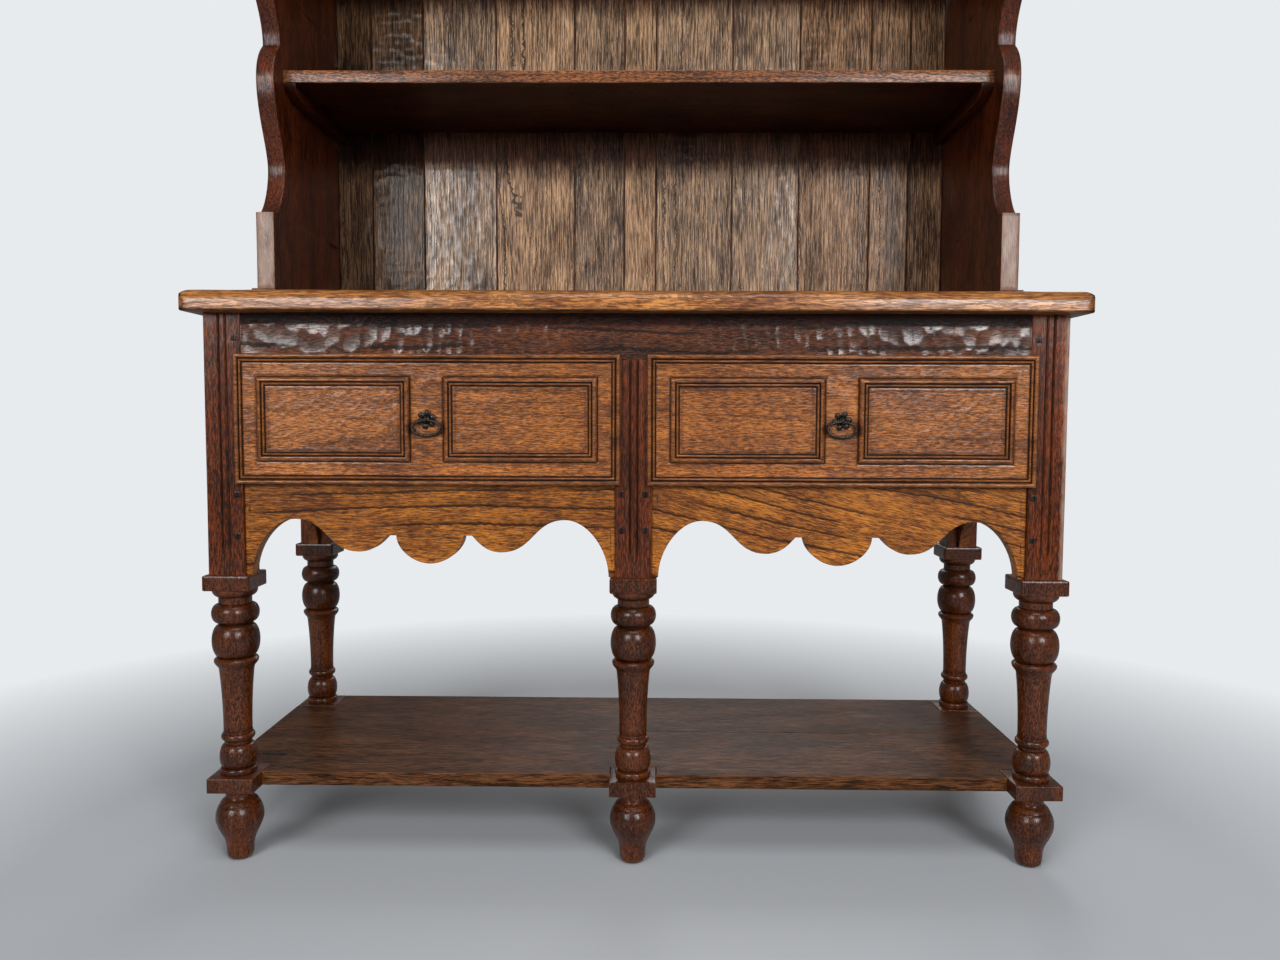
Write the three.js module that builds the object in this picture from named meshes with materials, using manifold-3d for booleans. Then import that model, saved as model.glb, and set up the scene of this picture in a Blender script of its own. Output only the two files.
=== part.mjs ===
// Oak dresser: an open plate rack over a base with two drawers, shaped aprons, turned legs
// and a low pot shelf. Millimetres, +Z up, the front towards -Y. The origin is on the floor
// under the middle of the worktop.
import * as THREE from "three";
import { mergeVertices } from "three/addons/utils/BufferGeometryUtils.js";
import Module from "manifold-3d";

const wasm = await Module();
wasm.setup();

// Base frame
const legSpacing = 1246;
const legDepth = 385;
const postSize = 56;
const legHeight = 455;
const worktopThickness = 32;
const worktopEndOverhang = 26;
const worktopFrontOverhang = 30;
const worktopBackOverhang = 27;
const worktopRound = 18;
const worktopCornerRadius = 12;

// Rails, aprons and boards of the base
const railThickness = 24;
const railSetback = 1.5;
const apronSetback = 5;
const friezeRailHeight = 70;
const apronHeight = 149;
const drawerOpeningHeight = 181;
const endBoardThickness = 18;
const baseBackThickness = 12;
const baseBackDrop = 44;
const spandrelFoot = 10;
const archRise = 87;
const cuspRise = 62.5;
const smallLobeRise = 37;
const centreLobeRise = 19;
const apronPlaceShares = { arch: 0.731, smallLobe: 0.387, cuspOuter: 0.228, cuspInner: 0.183 };

// Joints cut in the posts and rails
const tenonLength = 24;
const tenonThickness = 10;
const tenonShoulder = 14;
const tongueLength = 8;
const dowelRadius = 11;
const dowelLength = 28;
const jointGap = 0.3;
const cutOverrun = 5;

// Vertical grooves on the front posts
const grooveOffset = 5.5;
const grooveWidth = 4;
const grooveDepth = 2.5;
const grooveFootRise = 17;
const grooveRunOut = 24;

// Turned legs
const collarSize = 72;
const collarHeight = 24;
const plinthBase = 115;
const plinthHeight = 23;
const blockChamfer = 2.5;
const legSegments = 16;
const beadSteps = 4;
const fineBeadSteps = 3;
const fineBeadHeight = 20;

// Pot shelf
const potShelfThickness = 22;
const potShelfJointShare = 0.5;
const boardGap = 0.4;

// Drawers
const drawerLip = 8;
const lipThickness = 9;
const plugDepth = 12;
const drawerSideGap = 1.5;
const drawerSideThickness = 12;
const drawerHeadGap = 8;
const drawerBackThickness = 10;
const drawerBackDrop = 8;
const drawerBottomThickness = 8;
const drawerBottomRise = 8;
const drawerBottomTongue = 5;
const drawerRearGap = 7;
const drawerRunGap = 0.3;
const panelMargin = 35;
const panelGap = 51;
const runnerWidth = 20;
const runnerHeight = 20;
const guideHeight = 40;

// Ring pulls
const plateThickness = 2;
const pullSegments = 12;
const plateLobes = 6;
const plateTurnShare = 0.33;
const plateLobeRadius = 4.8;
const plateLobePlace = 10.2;
const plateCentreRadius = 9.5;
const eyeRadius = 4.4;
const eyeWire = 1.3;
const eyeStandOff = 3;
const ringHalfWidth = 21.2;
const ringHalfHeight = 11.4;
const ringWire = 1.8;
const ringKnuckle = 0.7;
const ringDrop = 1.2;

// Plate rack
const rackInset = 31;
const rackSideThickness = 29.5;
const rackDepth = 340;
const shoeHeight = 21;
const shoeProjection = 9;
const lowerSpace = 367;
const middleSpace = 285;
const upperSpace = 287;
const rackShelfThickness = 21;
const rackShelfSetback = 52;
const shelfHousing = 8;
const backBoardThickness = 10;
const backBoardShares = [67.5, 102, 142, 153, 97, 62, 148, 130, 138, 75, 66.5];

// Scrolled front edge of the rack sides
const rackFootHeight = 144;
const scrollStep = 9;
const scoopDepth = 53;
const noseDrop = 5;
const noseSetback = 11;
const cuspSetback = 41;
const cuspOverNose = 62;
const returnRise = 83;
const returnFlat = 20;

// Cleats, top board, frieze and cornice of the rack
const cleatThickness = 20;
const cleatHeight = 22;
const cleatNose = 45;
const topBoardThickness = 16;
const rackFriezeThickness = 18;
const rackFriezeHeight = 95;
const rackArchRise = 42;
const rackCuspRise = 30;
const rackSmallLobeRise = 17;
const rackCentreLobeRise = 9;
const corniceHeight = 55;
const corniceProjection = 36;
const corniceCover = 21;
const curveSteps = 6;

// Places worked out from the driving dimensions
const worktopDepth = worktopFrontOverhang + postSize + legDepth + worktopBackOverhang;
const worktopWidth = legSpacing + postSize + 2 * worktopEndOverhang;
const frontFace = -worktopDepth / 2 + worktopFrontOverhang;
const frontAxis = frontFace + postSize / 2;
const backAxis = frontAxis + legDepth;
const frontPostRear = frontFace + postSize;
const backPostFront = backAxis - postSize / 2;
const postInner = (legSpacing - postSize) / 2;
const apronTop = legHeight + apronHeight;
const friezeBottom = apronTop + drawerOpeningHeight;
const carcassTop = friezeBottom + friezeRailHeight;
const worktopHeight = carcassTop + worktopThickness;
const railFront = frontFace + railSetback;
const railMiddle = railFront + railThickness / 2;
const apronFront = frontFace + apronSetback;
const apronRear = apronFront + railThickness;
const apronMiddle = apronFront + railThickness / 2;
const baseBackFront = backAxis - baseBackThickness / 2;
const baseBackRear = backAxis + baseBackThickness / 2;
const endBoardOuter = (legSpacing + endBoardThickness) / 2;
const endBoardInner = (legSpacing - endBoardThickness) / 2;
const bayCentre = legSpacing / 4;
const bayWidth = postInner - postSize / 2;
const plinthTop = plinthBase + plinthHeight;
const collarBottom = legHeight - collarHeight;
const rackBack = worktopDepth / 2;
const rackFront = rackBack - rackDepth;
const rackOuter = (legSpacing + postSize) / 2 - rackInset;
const rackInner = rackOuter - rackSideThickness;
const rackBoardFront = rackBack - backBoardThickness;
const rackShelfFront = rackFront + rackShelfSetback;
const sideBottom = worktopHeight + shoeHeight;
const lowerShelfHeight = worktopHeight + lowerSpace;
const upperShelfHeight = lowerShelfHeight + rackShelfThickness + middleSpace;
const rackSideTop = upperShelfHeight + rackShelfThickness + upperSpace;

const oak = { color: 0x8a5a32, roughness: 0.6, metalness: 0 };
const darkOak = { color: 0x5a3421, roughness: 0.45, metalness: 0 };
const greyOak = { color: 0x6b5443, roughness: 0.6, metalness: 0 };
const paleOak = { color: 0xa98558, roughness: 0.75, metalness: 0 };
const iron = { color: 0x2b2a2a, roughness: 0.5, metalness: 0.9 };

// Solids

// A closed surface whose corners are shared, ready to be joined or cut.
function solidOf(geometry) {
  const bare = new THREE.BufferGeometry();
  bare.setAttribute("position", geometry.getAttribute("position"));
  if (geometry.index) bare.setIndex(geometry.index);
  const merged = mergeVertices(bare);
  return new wasm.Manifold(
    new wasm.Mesh({
      numProp: 3,
      vertProperties: merged.attributes.position.array,
      triVerts: new Uint32Array(merged.index.array),
    }),
  );
}

function geometryOf(solid) {
  const mesh = solid.getMesh();
  const geometry = new THREE.BufferGeometry();
  geometry.setAttribute("position", new THREE.BufferAttribute(mesh.vertProperties, 3));
  geometry.setIndex(new THREE.BufferAttribute(mesh.triVerts, 1));
  const flat = geometry.toNonIndexed();
  flat.computeVertexNormals();
  return flat;
}

function join(...pieces) {
  return geometryOf(pieces.map(solidOf).reduce((whole, next) => whole.add(next)));
}

function cut(piece, ...tools) {
  return geometryOf(tools.map(solidOf).reduce((rest, tool) => rest.subtract(tool), solidOf(piece)));
}

function common(piece, other) {
  return geometryOf(solidOf(piece).intersect(solidOf(other)));
}

// Moves every corner by a rule that keeps the faces pointing out.
function placed(geometry, rule) {
  const made = geometry.index ? geometry.toNonIndexed() : geometry.clone();
  const corners = made.getAttribute("position");
  for (let i = 0; i < corners.count; i++) {
    corners.setXYZ(i, ...rule(corners.getX(i), corners.getY(i), corners.getZ(i)));
  }
  made.deleteAttribute("normal");
  made.deleteAttribute("uv");
  made.computeVertexNormals();
  return made;
}

// A block between two corners, each an [x, y, z] in any order.
function block([x0, y0, z0], [x1, y1, z1]) {
  const pick = (share, a, b) => (share < 0 ? Math.min(a, b) : Math.max(a, b));
  const unit = new THREE.BoxGeometry(1, 1, 1);
  return placed(unit, (x, y, z) => [pick(x, x0, x1), pick(y, y0, y1), pick(z, z0, z1)]);
}

// The same block grown on every side by a clearance.
function grown([x0, y0, z0], [x1, y1, z1], gap) {
  const low = [Math.min(x0, x1) - gap, Math.min(y0, y1) - gap, Math.min(z0, z1) - gap];
  const high = [Math.max(x0, x1) + gap, Math.max(y0, y1) + gap, Math.max(z0, z1) + gap];
  return block(low, high);
}

function extruded(outline) {
  const shape = outline instanceof THREE.Shape ? outline : new THREE.Shape(outline);
  return new THREE.ExtrudeGeometry(shape, { depth: 1, bevelEnabled: false, curveSegments: curveSteps });
}

// A board whose outline is drawn in X and Z, from yFront to yRear.
function frontBoard(outline, yFront, yRear) {
  return placed(extruded(outline), (x, y, z) => [x, z > 0 ? yFront : yRear, y]);
}

// A board whose outline is drawn in Y and Z, from x0 to x1.
function sideBoard(outline, x0, x1) {
  return placed(extruded(outline), (x, y, z) => [z > 0 ? x1 : x0, x, y]);
}

// A solid through closed outlines of equal count, each turning left seen from above.
function stacked(loops) {
  const count = loops[0].length;
  const corners = loops.flat(2);
  const faces = [];
  for (let level = 0; level + 1 < loops.length; level++) {
    for (let i = 0; i < count; i++) {
      const a = level * count + i;
      const b = level * count + ((i + 1) % count);
      faces.push(a, b, b + count, a, b + count, a + count);
    }
  }
  const last = (loops.length - 1) * count;
  for (let i = 1; i + 1 < count; i++) {
    faces.push(0, i + 1, i, last, last + i, last + i + 1);
  }
  const geometry = new THREE.BufferGeometry();
  geometry.setAttribute("position", new THREE.Float32BufferAttribute(corners, 3));
  geometry.setIndex(faces);
  return geometry;
}

// A rectangle about the origin at one height, as a closed outline.
function rectangle(halfX, halfY, z) {
  return [
    [-halfX, -halfY, z],
    [halfX, -halfY, z],
    [halfX, halfY, z],
    [-halfX, halfY, z],
  ];
}

// A raised rectangle: each step is its inset from the edge and its height.
function moulded(halfX, halfY, steps) {
  return stacked(steps.map(([inset, height]) => rectangle(halfX - inset, halfY - inset, height)));
}

// A square block with its edges taken off, centred on the leg.
function chamferedBlock(size, bottom, top) {
  const half = size / 2;
  const steps = [
    [blockChamfer, bottom],
    [0, bottom + blockChamfer],
    [0, top - blockChamfer],
    [blockChamfer, top],
  ];
  return moulded(half, half, steps);
}

function named(name, geometry, finish) {
  const mesh = new THREE.Mesh(geometry, new THREE.MeshStandardMaterial(finish));
  mesh.name = name;
  return mesh;
}

// Turned legs: a square collar and plinth with turned work between, on a top-shaped foot.
// From the plinth up: a base ring, a bulb, a ring, the tapered shaft, a lipped ring, a ball, a
// bead, the neck and a ring under the collar. A bead has an edge and a swell, a flare or a taper
// an edge and a top.
const turningShares = [
  { height: 9.5, edge: 0.72, swell: 0.78 },
  { height: 37.5, edge: 0.58, swell: 0.775 },
  { height: 4, edge: 0.565, swell: 0.565 },
  { height: 13.5, edge: 0.6, swell: 0.69 },
  { height: 102.5, edge: 0.59, top: 0.72 },
  { height: 9, edge: 0.74, top: 0.86 },
  { height: 9.5, edge: 0.8, swell: 0.92 },
  { height: 51.5, edge: 0.66, swell: 0.985 },
  { height: 3, edge: 0.67, swell: 0.67 },
  { height: 29, edge: 0.73, swell: 0.98 },
  { height: 12.5, edge: 0.675, swell: 0.675 },
  { height: 11.5, edge: 0.76, top: 0.93 },
];
const footShares = [
  [0.3, 0],
  [0.55, 0.055],
  [0.585, 0.18],
  [0.72, 0.295],
  [0.96, 0.47],
  [1, 0.56],
  [0.97, 0.64],
  [0.83, 0.75],
  [0.53, 0.79],
  [0.53, 1],
];

function turnedProfile() {
  const radius = collarSize / 2;
  const points = [new THREE.Vector2(0, 0)];
  const add = (r, z) => {
    const point = new THREE.Vector2(r, z);
    if (!point.equals(points.at(-1))) points.push(point);
  };
  for (const [r, z] of footShares) add(r * radius, z * plinthBase);
  const total = turningShares.reduce((sum, turning) => sum + turning.height, 0);
  let z = plinthTop;
  for (const turning of turningShares) {
    const height = (turning.height / total) * (collarBottom - plinthTop);
    const straight = turning.swell === turning.edge;
    const steps = height < fineBeadHeight ? fineBeadSteps : beadSteps;
    for (let i = 0; i <= (straight ? 1 : steps); i++) {
      const along = i / (straight ? 1 : steps);
      const r = turning.top
        ? turning.edge + (turning.top - turning.edge) * along * along
        : turning.edge + (turning.swell - turning.edge) * Math.sin(Math.PI * along);
      add(r * radius, z + along * height);
    }
    z += height;
  }
  add(dowelRadius, collarBottom);
  add(dowelRadius, legHeight + dowelLength);
  add(0, legHeight + dowelLength);
  return points;
}

function turnedLeg() {
  const turned = placed(new THREE.LatheGeometry(turnedProfile(), legSegments), (x, y, z) => [x, -z, y]);
  const collar = chamferedBlock(collarSize, collarBottom, legHeight);
  const plinth = chamferedBlock(collarSize, plinthBase, plinthTop);
  return join(turned, collar, plinth);
}

// Posts, mortised for the rails and bored for the leg's dowel

function dowelHole() {
  const hole = new THREE.CylinderGeometry(
    dowelRadius + jointGap,
    dowelRadius + jointGap,
    dowelLength + jointGap + cutOverrun,
    legSegments,
  );
  const middle = legHeight + (dowelLength + jointGap - cutOverrun) / 2;
  return placed(hole, (x, y, z) => [x, -z, y + middle]);
}

// A groove with a V section that runs out to a point at its foot.
function scratchGroove(offset, top) {
  const half = grooveWidth / 2;
  const face = -postSize / 2;
  const foot = legHeight + grooveFootRise;
  const section = (width, depth, z) => [
    [offset, face + depth, z],
    [offset - width, face - depth, z],
    [offset + width, face - depth, z],
  ];
  const tip = blockChamfer / grooveRunOut;
  return stacked([
    section(half * tip, grooveDepth * tip, foot),
    section(half, grooveDepth, foot + grooveRunOut),
    section(half, grooveDepth, top + cutOverrun),
  ]);
}

// The tenon of a rail end: it runs from the post's inner face into the post. Its middle is
// the rail's middle in depth, and its places are from the post's own axis.
function railTenon(side, middle, bottom, top) {
  const near = (side * postSize) / 2;
  const far = side * (postSize / 2 - tenonLength);
  const depth = middle - frontAxis;
  const low = [near, depth - tenonThickness / 2, bottom + tenonShoulder];
  const high = [far, depth + tenonThickness / 2, top - tenonShoulder];
  return [low, high];
}

function friezeTenon(side) {
  return railTenon(side, railMiddle, friezeBottom, carcassTop);
}

// The apron is held where it is whole, above its arches.
function apronTenon(side) {
  return railTenon(side, apronMiddle, legHeight + archRise - tenonShoulder, apronTop);
}

// The tongue of an end board, where it enters the post.
function endTongue(face, towards) {
  const low = [-tenonThickness / 2, face, apronTop];
  const high = [tenonThickness / 2, face + towards * tongueLength, carcassTop - tenonShoulder];
  return [low, high];
}

// Posts are drawn about their own axis; inward is the side that faces the drawers.
function frontPost(inward) {
  const half = postSize / 2;
  const body = block([-half, -half, legHeight], [half, half, carcassTop]);
  return cut(
    body,
    dowelHole(),
    scratchGroove(-grooveOffset, carcassTop),
    scratchGroove(grooveOffset, carcassTop),
    grown(...friezeTenon(inward), jointGap),
    grown(...apronTenon(inward), jointGap),
    grown(...endTongue(half, -1), jointGap),
  );
}

function middlePost() {
  const half = postSize / 2;
  const body = block([-half, -half, legHeight], [half, half, friezeBottom]);
  const middle = railMiddle - frontAxis;
  const stub = block(
    [-tenonLength / 2, middle - tenonThickness / 2, friezeBottom - tenonShoulder],
    [tenonLength / 2, middle + tenonThickness / 2, friezeBottom + tenonLength],
  );
  const shaped = cut(
    body,
    dowelHole(),
    scratchGroove(-grooveOffset, friezeBottom),
    scratchGroove(grooveOffset, friezeBottom),
    grown(...apronTenon(-1), jointGap),
    grown(...apronTenon(1), jointGap),
  );
  return join(shaped, stub);
}

function backPost(inward) {
  const half = postSize / 2;
  const body = block([-half, -half, legHeight], [half, half, carcassTop]);
  const boardHalf = baseBackThickness / 2;
  const slotLow = [inward * (half - tongueLength), -boardHalf, apronTop - baseBackDrop];
  const slotHigh = [inward * (half + cutOverrun), boardHalf, carcassTop + cutOverrun];
  const mortise = grown(...endTongue(-half, 1), jointGap);
  return cut(body, dowelHole(), mortise, grown(slotLow, slotHigh, jointGap));
}

// Aprons: a tall arch, a small lobe, a cusp and a middle lobe, mirrored about the middle.
// Heights are measured up from the foot of the apron.
function scallopedEdge(halfWidth, foot, rises) {
  const at = (share, rise) => [-halfWidth * share, foot + rise];
  const [archX, archZ] = at(apronPlaceShares.arch, rises.arch);
  const [lobeX, lobeZ] = at(apronPlaceShares.smallLobe, rises.smallLobe);
  const [cuspOuterX, cuspZ] = at(apronPlaceShares.cuspOuter, rises.cusp);
  const [cuspInnerX] = at(apronPlaceShares.cuspInner, rises.cusp);
  const [, centreZ] = at(0, rises.centreLobe);
  const footX = -halfWidth + spandrelFoot;
  const half = new THREE.Path();
  half.moveTo(-halfWidth, foot);
  half.lineTo(footX, foot);
  half.bezierCurveTo(footX, (foot + archZ) / 2, (footX + archX) / 2, archZ, archX, archZ);
  const lean = (lobeX - archX) / 2;
  half.bezierCurveTo(archX + lean, archZ, lobeX - lean, lobeZ, lobeX, lobeZ);
  const rest = (cuspOuterX - lobeX) / 2;
  half.bezierCurveTo(lobeX + rest, lobeZ, cuspOuterX - rest / 2, (lobeZ + cuspZ) / 2, cuspOuterX, cuspZ);
  half.lineTo(cuspInnerX, cuspZ);
  half.bezierCurveTo(cuspInnerX, (centreZ + cuspZ) / 2, cuspInnerX / 2, centreZ, 0, centreZ);
  const points = half.getPoints(curveSteps);
  const mirrored = points.slice(0, -1).reverse();
  return [...points, ...mirrored.map((p) => new THREE.Vector2(-p.x, p.y))];
}

function apron() {
  const rises = {
    arch: archRise,
    smallLobe: smallLobeRise,
    cusp: cuspRise,
    centreLobe: centreLobeRise,
  };
  const half = bayWidth / 2;
  const edge = scallopedEdge(half, legHeight, rises);
  const outline = [...edge, new THREE.Vector2(half, apronTop), new THREE.Vector2(-half, apronTop)];
  const board = frontBoard(outline, apronFront, apronRear);
  const tenons = [-1, 1].map((side) => {
    const [low, high] = apronTenon(side);
    const shift = ([x, y, z]) => [side * (half + postSize / 2) - x, y + frontAxis, z];
    return block(shift(low), shift(high));
  });
  return join(board, ...tenons);
}

function friezeRail() {
  const railRear = railFront + railThickness;
  const body = block([-postInner, railFront, friezeBottom], [postInner, railRear, carcassTop]);
  const tenons = [-1, 1].map((side) => {
    const [low, high] = friezeTenon(side);
    const shift = ([x, y, z]) => [(side * legSpacing) / 2 - x, y + frontAxis, z];
    return block(shift(low), shift(high));
  });
  const mortise = grown(
    [-tenonLength / 2, railMiddle - tenonThickness / 2, friezeBottom - cutOverrun],
    [tenonLength / 2, railMiddle + tenonThickness / 2, friezeBottom + tenonLength],
    jointGap,
  );
  return cut(join(body, ...tenons), mortise);
}

// An end board is one wide board with an arch cut in its lower edge.
function endBoard(side) {
  const front = frontPostRear;
  const back = backPostFront;
  const middle = (front + back) / 2;
  const archTop = legHeight + archRise;
  const outline = new THREE.Shape();
  outline.moveTo(front, legHeight);
  outline.lineTo(front + spandrelFoot, legHeight);
  const springing = (middle - front - spandrelFoot) / 2;
  const rise = (legHeight + archTop) / 2;
  const spring = back - spandrelFoot;
  outline.bezierCurveTo(front + spandrelFoot, rise, middle - springing, archTop, middle, archTop);
  outline.bezierCurveTo(middle + springing, archTop, spring, rise, spring, legHeight);
  outline.lineTo(back, legHeight);
  outline.lineTo(back, carcassTop);
  outline.lineTo(front, carcassTop);
  const inner = side * endBoardInner;
  const outer = side * endBoardOuter;
  const board = sideBoard(outline, Math.min(inner, outer), Math.max(inner, outer));
  const axis = (side * legSpacing) / 2;
  const tongues = [
    [endTongue(postSize / 2, -1), frontAxis],
    [endTongue(-postSize / 2, 1), backAxis],
  ].map(([corners, y]) => block(...corners.map(([cx, cy, cz]) => [axis + cx, y + cy, cz])));
  return join(board, ...tongues);
}

function baseBack() {
  const reach = postInner + tongueLength;
  return block([-reach, baseBackFront, apronTop - baseBackDrop], [reach, baseBackRear, carcassTop]);
}

// Runners carry the drawer sides; the guide beside each keeps the drawer straight.
function outerRunner(side) {
  const top = apronTop;
  const bottom = top - runnerHeight;
  const ledge = block(
    [side * postInner, apronRear, bottom],
    [side * (postInner - runnerWidth), baseBackFront, top],
  );
  const guide = block(
    [side * endBoardInner, frontPostRear, bottom],
    [side * postInner, backPostFront, top + guideHeight],
  );
  return join(ledge, guide);
}

function middleRunner() {
  const top = apronTop;
  const bottom = top - runnerHeight;
  const half = postSize / 2;
  const reach = half + runnerWidth;
  const ledge = block([-reach, frontPostRear, bottom], [reach, baseBackFront, top]);
  const guide = block([-half, frontPostRear, top], [half, baseBackFront, top + guideHeight]);
  const noses = [-1, 1].map((side) =>
    block([side * half, apronRear, bottom], [side * reach, frontPostRear, top]),
  );
  return join(ledge, guide, ...noses);
}

// The worktop has a square back edge; its front and ends are rounded over.
function worktop() {
  const halfX = worktopWidth / 2;
  const halfY = worktopDepth / 2;
  const loop = (inset, z) => {
    const points = [];
    for (const side of [-1, 1]) {
      for (let i = 0; i <= beadSteps; i++) {
        const turn = ((side < 0 ? i : beadSteps - i) / beadSteps) * (Math.PI / 2);
        const r = worktopCornerRadius;
        const x = side * (halfX - inset - r + r * Math.cos(turn));
        points.push([x, -halfY + inset + r - r * Math.sin(turn), z]);
      }
    }
    points.push([halfX - inset, halfY, z], [-halfX + inset, halfY, z]);
    return points;
  };
  const loops = [loop(0, carcassTop)];
  for (let i = 0; i <= beadSteps; i++) {
    const turn = (i / beadSteps) * (Math.PI / 2);
    const inset = worktopRound * (1 - Math.cos(turn));
    loops.push(loop(inset, worktopHeight - worktopRound * (1 - Math.sin(turn))));
  }
  return stacked(loops);
}

// The pot shelf is two boards notched round the plinths of the legs.
function potShelfBoard(yLow, yHigh) {
  const half = (legSpacing + collarSize) / 2;
  const board = block([-half, yLow, plinthTop - potShelfThickness], [half, yHigh, plinthTop]);
  const notches = legPlaces.map(([, x, y]) => {
    const reach = collarSize / 2;
    const low = [x - reach, y - reach, plinthBase - cutOverrun];
    const high = [x + reach, y + reach, plinthTop + cutOverrun];
    return grown(low, high, jointGap);
  });
  return cut(board, ...notches);
}

const legPlaces = [
  ["front_left", -legSpacing / 2, frontAxis],
  ["front_middle", 0, frontAxis],
  ["front_right", legSpacing / 2, frontAxis],
  ["back_left", -legSpacing / 2, backAxis],
  ["back_right", legSpacing / 2, backAxis],
];

// Drawers: a lipped front with mouldings worked round its edge and two raised panels,
// and a nailed box that slides in the opening behind it. Drawn about the bay's middle.
const drawerBottom = apronTop + drawerRunGap;
const drawerTop = friezeBottom - drawerHeadGap;
const drawerHalf = bayWidth / 2 - drawerSideGap;
const drawerInner = drawerHalf - drawerSideThickness;
const lipRear = frontFace - drawerRunGap;
const plugRear = lipRear + plugDepth;
const drawerRear = backPostFront - drawerRearGap;
const frontMiddle = (apronTop + friezeBottom) / 2;
const bottomLow = drawerBottom + drawerBottomRise;
const bottomHigh = bottomLow + drawerBottomThickness;

// Sections of the mouldings, in shares of the lip's thickness: inset first, then height.
// The edge has a flat band, a quirk and a bead; the panel a bevel, a quirk, a bead and a fillet.
const edgeMouldingShares = [
  [0, 0],
  [0, 1.15],
  [0.08, 1.25],
  [0.8, 1.28],
  [0.85, 1.02],
  [0.97, 1.02],
  [1.03, 1.25],
  [1.17, 1.35],
  [1.31, 1.25],
  [1.37, 1],
];
const panelMouldingShares = [
  [0, 0.5],
  [0, 1.1],
  [0.28, 1.46],
  [0.6, 1.52],
  [0.68, 1.28],
  [0.78, 1.28],
  [0.88, 1.46],
  [1.12, 1.46],
  [1.22, 1.22],
  [1.56, 1.16],
];

function facingFront(geometry, xMiddle) {
  return placed(geometry, (x, y, z) => [x + xMiddle, lipRear - z, y + frontMiddle]);
}

function drawerFront() {
  const halfX = bayWidth / 2 + drawerLip;
  const halfZ = (friezeBottom - apronTop) / 2 + drawerLip;
  const scaled = (shares) => shares.map((share) => share.map((value) => value * lipThickness));
  const plate = facingFront(moulded(halfX, halfZ, scaled(edgeMouldingShares)), 0);
  const panelHalfX = (halfX - panelMargin - panelGap / 2) / 2;
  const panelHalfZ = halfZ - panelMargin;
  const panels = [-1, 1].map((side) => {
    const middle = side * (panelGap / 2 + panelHalfX);
    return facingFront(moulded(panelHalfX, panelHalfZ, scaled(panelMouldingShares)), middle);
  });
  const plugFront = lipRear - jointGap;
  const plug = block([-drawerInner, plugRear, drawerBottom], [drawerInner, plugFront, drawerTop]);
  const reach = drawerInner + cutOverrun;
  const groove = grown(
    [-reach, plugRear - drawerBottomTongue, bottomLow],
    [reach, plugRear + cutOverrun, bottomHigh],
    jointGap,
  );
  return cut(join(plate, plug, ...panels), groove);
}

function drawerSide(side) {
  const low = [side * drawerHalf, lipRear, drawerBottom];
  const body = block(low, [side * drawerInner, drawerRear, drawerTop]);
  const groove = grown(
    [side * (drawerInner + drawerBottomTongue), plugRear - drawerBottomTongue, bottomLow],
    [side * (drawerInner - cutOverrun), drawerRear + cutOverrun, bottomHigh],
    jointGap,
  );
  return cut(body, groove);
}

function drawerBack() {
  const low = [-drawerInner, drawerRear - drawerBackThickness, bottomHigh];
  return block(low, [drawerInner, drawerRear, drawerTop - drawerBackDrop]);
}

function drawerBottomBoard() {
  const reach = drawerInner + drawerBottomTongue;
  return block([-reach, plugRear - drawerBottomTongue, bottomLow], [reach, drawerRear, bottomHigh]);
}

// Ring pulls: a rosette plate with an eye, and an oval ring that hangs in the eye.
const plateRear = lipRear - lipThickness;
const plateFront = plateRear - plateThickness;
const eyeMiddle = plateFront - eyeStandOff;

function disc(radius, dx, dz) {
  const made = new THREE.CylinderGeometry(radius, radius, 1, pullSegments);
  return placed(made, (x, y, z) => [x + dx, y < 0 ? plateFront : plateRear, z + dz + frontMiddle]);
}

function pullPlate() {
  const lobes = [];
  for (let i = 0; i < plateLobes; i++) {
    const turn = (2 * Math.PI * (i + plateTurnShare)) / plateLobes;
    lobes.push(disc(plateLobeRadius, plateLobePlace * Math.cos(turn), plateLobePlace * Math.sin(turn)));
  }
  const hoop = new THREE.TorusGeometry(eyeRadius, eyeWire, pullSegments / 2, pullSegments);
  const eye = placed(hoop, (x, y, z) => [z, x + eyeMiddle, y + frontMiddle]);
  const reach = eyeRadius + eyeWire + cutOverrun;
  const room = block(
    [-reach, plateFront + plateThickness / 2, frontMiddle - reach],
    [reach, plateFront - reach - cutOverrun, frontMiddle + reach],
  );
  return join(disc(plateCentreRadius, 0, 0), ...lobes, common(eye, room));
}

// A tube about a closed oval: the wire swells into two knuckles at the foot of the ring.
function pullRing() {
  const around = pullSegments * 2;
  const footStep = (around * 3) / 4;
  const sides = pullSegments / 2;
  const middleZ = frontMiddle - ringDrop - ringHalfHeight;
  const corners = [];
  for (let i = 0; i < around; i++) {
    const turn = (i / around) * 2 * Math.PI;
    const fromFoot = Math.abs(i - footStep);
    const wire = fromFoot === 1 ? ringWire + ringKnuckle : ringWire;
    const outX = ringHalfHeight * Math.cos(turn);
    const outZ = ringHalfWidth * Math.sin(turn);
    const length = Math.hypot(outX, outZ);
    for (let j = 0; j < sides; j++) {
      const roll = (j / sides) * 2 * Math.PI;
      const out = (wire * Math.cos(roll)) / length;
      const x = ringHalfWidth * Math.cos(turn) + out * outX;
      const z = ringHalfHeight * Math.sin(turn) + out * outZ;
      corners.push(x, eyeMiddle + wire * Math.sin(roll), middleZ + z);
    }
  }
  const faces = [];
  for (let i = 0; i < around; i++) {
    for (let j = 0; j < sides; j++) {
      const a = i * sides + j;
      const b = i * sides + ((j + 1) % sides);
      const c = ((i + 1) % around) * sides + ((j + 1) % sides);
      const d = ((i + 1) % around) * sides + j;
      faces.push(a, b, c, a, c, d);
    }
  }
  const geometry = new THREE.BufferGeometry();
  geometry.setAttribute("position", new THREE.Float32BufferAttribute(corners, 3));
  geometry.setIndex(faces);
  geometry.computeVertexNormals();
  return geometry;
}

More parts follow.
